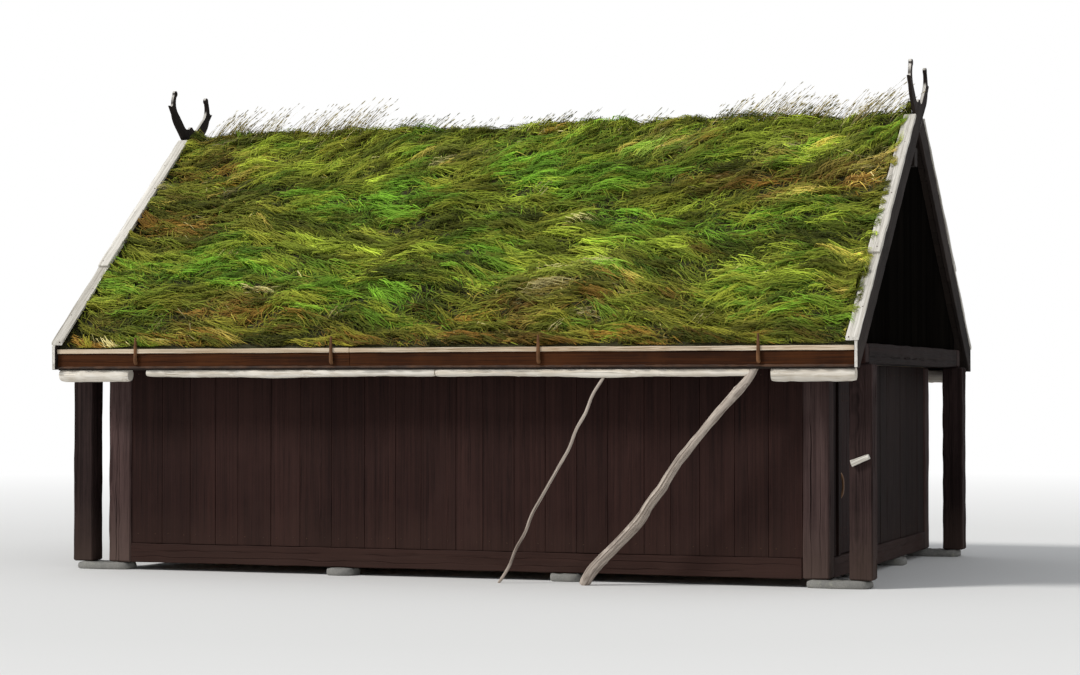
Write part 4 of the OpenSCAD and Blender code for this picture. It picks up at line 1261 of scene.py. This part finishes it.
def grass(name, x0, x1, side, seed, blades):
    """Grass on part of a slope: locks of long blades over a short, darker bottom growth."""
    draw = np.random.default_rng(seed)
    locks = int(blades * IN_LOCKS / LOCK)
    lock_x = draw.uniform(x0, x1, locks)
    lock_y = side * draw.uniform(0.0, LOWEST_LOCK, locks)
    lock_turn = draw.normal(0, 0.2, locks)
    lock_length = draw.uniform(0.2, 0.4, locks)
    lock_rise = draw.uniform(0.025, 0.095, locks)
    lock_over = draw.random(locks) < OVER_SHARE
    of = np.repeat(np.arange(locks), LOCK)
    angle = combed(lock_x, lock_y, side) + lock_turn
    ahead = 0.6 * lock_length
    ahead_x = lock_x + ahead * np.cos(angle)
    ahead_y = lock_y - side * ahead * np.sin(angle) * math.cos(PITCH)
    lock_hue = hues(ahead_x, ahead_y, side, draw)
    along, across = draw.normal(0, 0.085, len(of)), draw.normal(0, 0.024, len(of))
    x = lock_x[of] + along * np.cos(angle[of]) - across * np.sin(angle[of])
    y = np.abs(lock_y[of]) - (along * np.sin(angle[of]) + across * np.cos(angle[of])) * math.cos(PITCH)
    y = np.clip(np.abs(y), 0.0, LOWEST_ROOT)
    x = np.clip(x, -TURF_X + 0.03, TURF_X - 0.03)
    turn = angle[of] + draw.normal(0, 0.13, len(of)) - 5.0 * across
    length = lock_length[of] * draw.uniform(0.65, 1.2, len(of))
    rise = lock_rise[of] * draw.uniform(0.5, 1.3, len(of))
    hue = lock_hue[of] * draw.uniform(0.8, 1.2, (len(of), 1))
    width = draw.uniform(0.0055, 0.0095, len(of))
    curl = draw.normal(0, 0.08, len(of)) + draw.normal(0, 0.10, locks)[of]

    short = blades - len(of)
    sx, sy = draw.uniform(x0, x1, short), draw.uniform(0, LOWEST_ROOT, short)
    x = np.concatenate([x, np.clip(sx, -TURF_X + 0.02, TURF_X - 0.02)])
    y = np.concatenate([y, sy])
    turn = np.concatenate([turn, combed(sx, side * sy, side) + draw.normal(0, 0.7, short)])
    length = np.concatenate([length, draw.uniform(0.10, 0.22, short)])
    rise = np.concatenate([rise, draw.uniform(0.02, 0.07, short)])
    hue = np.concatenate([hue, 0.8 * hues(sx, side * sy, side, draw)])
    width = np.concatenate([width, draw.uniform(0.008, 0.013, short)])
    curl = np.concatenate([curl, draw.normal(0, 0.2, short)])

    room = TURF_X - 0.07 - np.where(np.cos(turn) > 0, x, -x)
    most = np.maximum(room, 0.03) / np.maximum(np.abs(np.cos(turn)), 0.05)
    steepest = np.maximum(-np.sin(turn), 0.05)
    down = np.where(np.sin(turn) < 0, (LOWEST_TIP - y) / math.cos(PITCH) / steepest, FREE)
    over = np.concatenate([lock_over[of], np.zeros(short, bool)]) & (y < OVER_LOWEST)
    length = np.minimum(length, np.minimum(np.where(over, FREE, most), down) + 0.04)
    blade_points = bent(x, y, side, turn, length, rise, width, curl, draw)
    grown(name, kept_off_caps(blade_points, over), hue)


for name, x0, x1, side, seed, blades in (
    ("grass_front_left", -TURF_X, 0.0, -1, 850, 39000),
    ("grass_front_right", 0.0, TURF_X, -1, 860, 39000),
    ("grass_back_left", -TURF_X, 0.0, 1, 870, 30000),
    ("grass_back_right", 0.0, TURF_X, 1, 880, 30000),
):
    grass(name, x0, x1, side, seed, blades)

TUFTS = (
    (2.6, -2.72, 26), (1.1, -2.78, 14), (-1.3, -2.6, 18), (-2.8, -1.9, 16), (0.4, -1.1, 12),
    (-3.2, -2.74, 14), (1.9, 2.6, 18), (-0.7, 2.2, 16), (3.1, 1.5, 14), (-2.4, 1.1, 16),
)
CLUMPS = ((2.2, 3.95, 24), (-4.0, -1.6, 22), (-3.9, 3.9, 36))
END_CLUMPS, STALKS = 46, 15


def crest_stalks(seed):
    """Dry stalks with seed heads, along the crest, thickest near its ends, and in tufts on the slopes."""
    draw = np.random.default_rng(seed)
    clumps = np.concatenate([draw.uniform(*clump) for clump in CLUMPS])
    of = np.repeat(np.arange(len(clumps)), STALKS)
    x = np.clip(clumps[of] + draw.normal(0, 0.06, len(of)), -TURF_X + 0.05, TURF_X - 0.05)
    y = np.abs(draw.normal(0, 0.13, len(of)))
    tall = draw.uniform(0.6, 1.0, len(clumps))[of] * np.where(of < END_CLUMPS, 1.0, 0.55)
    side = np.where(draw.random(len(x)) < 0.5, -1, 1)
    for at_x, at_y, count in TUFTS:
        x = np.concatenate([x, draw.normal(at_x, 0.05, count)])
        y = np.concatenate([y, abs(at_y) + draw.normal(0, 0.03, count)])
        tall = np.concatenate([tall, draw.uniform(0.35, 0.6, count)])
        side = np.concatenate([side, np.full(count, -1 if at_y < 0 else 1)])
    rise = draw.uniform(0.22, 0.42, len(x)) * tall
    turn = draw.normal(0.05, 0.2, len(x))
    straw, chaff = draw.random(len(x)) < 0.5, draw.random(len(x)) < 0.4
    at_ends = np.arange(len(x)) < END_CLUMPS * STALKS
    kind = np.where(at_ends, np.where(straw, 5, 4), np.where(chaff, 5, 3))
    hue = GRASSES[kind] * draw.uniform(0.5, 0.85, (len(x), 1))
    stems = []
    for slope in (-1, 1):
        pick = side == slope
        wide, curl = draw.uniform(0.007, 0.012, pick.sum()), draw.normal(0, 0.1, pick.sum())
        up = rise[pick]
        stems.append(bent(x[pick], y[pick], slope, turn[pick], 0.85 * up, up, wide, curl, draw, stiff=True))
    points = np.concatenate(stems)
    hue = np.concatenate([hue[side == -1], hue[side == 1]])
    tips = points[:, 6]
    lean = tips - points[:, 4:6].mean(1)
    lean /= np.linalg.norm(lean, axis=1)[:, None]
    heads = []
    for _ in range(3):
        aside = np.cross(lean, draw.normal(0, 1, lean.shape))
        aside /= np.linalg.norm(aside, axis=1)[:, None]
        start = tips - lean * draw.uniform(0.01, 0.05, (len(tips), 1))
        reach = draw.uniform(0.03, 0.055, (len(tips), 1))
        half = aside * draw.uniform(0.002, 0.004, (len(tips), 1))
        rows = []
        for t, share in HEAD_ROWS:
            middle = start + lean * reach * t + np.cross(lean, aside) * 0.006 * t
            rows += [middle - half * share, middle + half * share] if share else [middle]
        heads.append(np.stack(rows, 1))
    grown("grass_crest_stalks", np.concatenate([points] + heads), np.concatenate([hue] + [0.85 * hue] * 3))


crest_stalks(890)

# Verges: tarred boards in two lengths on each edge of the roof, pale where their edges face the sky, partly
# weathered and partly painted sky light, the upper ones halved over each other at the ridge and carved into
# horns. Pale caps of bare pine are nailed on top.

tarred_verge = wood(
    "tarred_verge", colour(22, 18, 16), colour(50, 42, 39), weather=colour(66, 57, 52), worn=0.3,
    knots=0.4, rough=(0.65, 0.9), relief=0.002, gloss=0.1,
    bleached_and_sky_lit=(colour(122, 116, 106), colour(232, 228, 220)),
)
for node, along, seed, work in (
    ("verge_boards_lower", "slope", 600, "dressed"),
    ("verge_boards_upper_front", "front slope", 610, "carved"),
    ("verge_boards_upper_back", "back slope", 620, "carved"),
):
    dress(node, along, seed, tarred_verge, "post_wood", work, bevel=0.005, hew=0.004, cut=0.15)
for node, seed in (("verge_caps_lower", 630), ("verge_caps_upper", 640)):
    dress(node, "slope", seed, pale_wood, "weathered_wood", bevel=0.005, hew=0.005, cut=0.12)

# Props and wedge: crooked barked poles that lean under the front eave, and a split wedge driven
# against the front porch post. Bare wood, bleached grey.


def above_ground(points):
    """Cuts a prop off under the roof boards and level with the ground."""
    points = below_roof_boards(points)
    points[:, 2] = np.maximum(points[:, 2], 0.0)
    return points


prop_grey = wood(
    "prop_grey", colour(100, 87, 79), colour(202, 190, 177), weather=colour(168, 157, 147), worn=0.4,
    knots=0.8, rough=(0.7, 0.95), relief=0.003, gloss=0.15,
)
for node, stations, seed, details in (
    ("raking_prop", 16, 700, {"across": 30, "rough": 0.003, "knots": 10, "cracks": 4, "widest": 0.006}),
    ("thin_prop", 12, 720,
     {"across": 14, "step": 0.03, "rough": 0.001, "knots": 6, "cracks": 1, "widest": 0.002}),
):
    pole = poles_for(node, 2, stations, seed, limit=above_ground, **details)
    make_piece(node + "_barked", pole, prop_grey, [node])

wedge = dressed("post_wedge", "x", 730, bevel=0.005, hew=0.004, cut=0.04)[0]
from_middle = wedge[0] - wedge[0].mean(0)
wedge_grain = from_middle @ np.linalg.svd(from_middle, full_matrices=False)[2][::-1].T
wedge = (wedge[0], wedge[1], wedge_grain, wedge[3])
make_piece("post_wedge_split", [wedge], pale_wood, ["post_wedge"])

# Nails: hand-forged iron nails with low domed heads, rusted dark, through the planks of the walls and
# the door and through the verge caps.

NAIL_RINGS = ((1.0, -0.006), (1.0, 0.0), (0.6, 0.0022))
NAIL_POINTS = 7
CAP_NAIL = 0.0075
CAP_NAILS_UP = np.arange(0.14, 3.8, 0.45)


def nail_head(spot, normal, radius):
    """A low dome on a face, with its rim sunk a little in the wood."""
    beside = np.cross(normal, (0.3, 0.5, 0.8))
    beside /= np.linalg.norm(beside)
    other = np.cross(normal, beside)
    angle = 2 * np.pi * np.arange(NAIL_POINTS) / NAIL_POINTS
    rim = np.cos(angle)[:, None] * beside + np.sin(angle)[:, None] * other
    points = np.concatenate([spot + normal * height + rim * radius * share for share, height in NAIL_RINGS])
    return points, skin(len(NAIL_RINGS), NAIL_POINTS), points, 0.5


for end in (-1, 1):
    for side in (-1, 1):
        square = np.array([0.0, side * math.sin(PITCH), math.cos(PITCH)])
        for k, up in enumerate(CAP_NAILS_UP):
            place = np.array([end * (CAP_X + 0.03 + 0.06 * (k % 2)), up, float(cap_top(up)) - 0.002])
            nails.append((on_slope(*place[:, None], side)[0], square, CAP_NAIL))


def rusty_iron():
    """Wrought iron, dark with rust."""
    finish, tree, shader = new_finish("rusty_iron")
    rust = noise(tree, places_of(tree), 120.0, detail=4.0)
    base = blend(tree, ramp(tree, rust, 0.35, 0.65), colour(30, 25, 23), colour(82, 52, 34))
    surface(tree, shader, base, ramp(tree, rust, 0.3, 0.7, 0.55, 0.85))
    shader.inputs["Specular IOR Level"].default_value = 0.3
    return finish


make_piece("forged_nails", [nail_head(*nail) for nail in nails], rusty_iron())

# Studio: a pale floor that fades to white far off, soft light from the sky and a large lamp, and a
# camera that stands low and a little to the right of the house.


def mixed(tree, share, first, second):
    """Two shaders mixed by a share from 0 to 1."""
    node = add(tree, "MixShader")
    for socket, value in zip(node.inputs, (share, first, second)):
        feed(tree, socket, value)
    return node.outputs[0]


FLOOR_HALF = 90
corners = [(x * FLOOR_HALF, y * FLOOR_HALF, 0) for x, y in ((-1, -1), (1, -1), (1, 1), (-1, 1))]
floor_mesh = bpy.data.meshes.new("studio_floor")
floor_mesh.from_pydata(corners, [], [(0, 1, 2, 3)])
floor = new_object("studio_floor", floor_mesh)
floor_finish, tree, shader = new_finish("studio_floor")
surface(tree, shader, (0.8, 0.8, 0.79, 1), 0.9)
far = add(tree, "VectorMath", {"operation": "LENGTH"})
feed(tree, far.inputs[0], places_of(tree))
fade = add(tree, "MapRange", Value=far.outputs["Value"], From_Min=9.0, From_Max=30.0).outputs[0]
fade = scaled(tree, fade, add(tree, "LightPath").outputs["Is Camera Ray"])
white = add(tree, "Emission", Color=(1, 1, 1, 1), Strength=1.0).outputs[0]
feed(tree, tree.nodes["Material Output"].inputs[0], mixed(tree, fade, shader.outputs[0], white))
floor_mesh.materials.append(floor_finish)

world = bpy.data.worlds.new("soft_sky")
bpy.context.scene.world = world
world.use_nodes = True
tree = world.node_tree
tree.nodes.clear()
seen = add(tree, "LightPath").outputs["Is Camera Ray"]
sky = add(tree, "Background", Color=(0.95, 0.97, 1.0, 1), Strength=0.55).outputs[0]
white = add(tree, "Background", Color=(1, 1, 1, 1), Strength=1.0).outputs[0]
add(tree, "OutputWorld", Surface=mixed(tree, seen, sky, white))

sun_data = bpy.data.lights.new("soft_lamp", "SUN")
sun_data.energy = 2.2
sun_data.angle = math.radians(14)
sun_data.color = (1.0, 0.98, 0.95)
sun = new_object("soft_lamp", sun_data)
sun.rotation_euler = (math.radians(50), 0, math.radians(-50))

camera_data = bpy.data.cameras.new("camera")
camera_data.lens = 84
camera = new_object("camera", camera_data)
camera.location = (9.2, -26.0, 1.9)
aim = Vector((0.05, 0.0, 2.45))
camera.rotation_euler = (aim - camera.location).to_track_quat("-Z", "Y").to_euler()
bpy.context.scene.camera = camera
bpy.context.scene.view_settings.view_transform = "Standard"
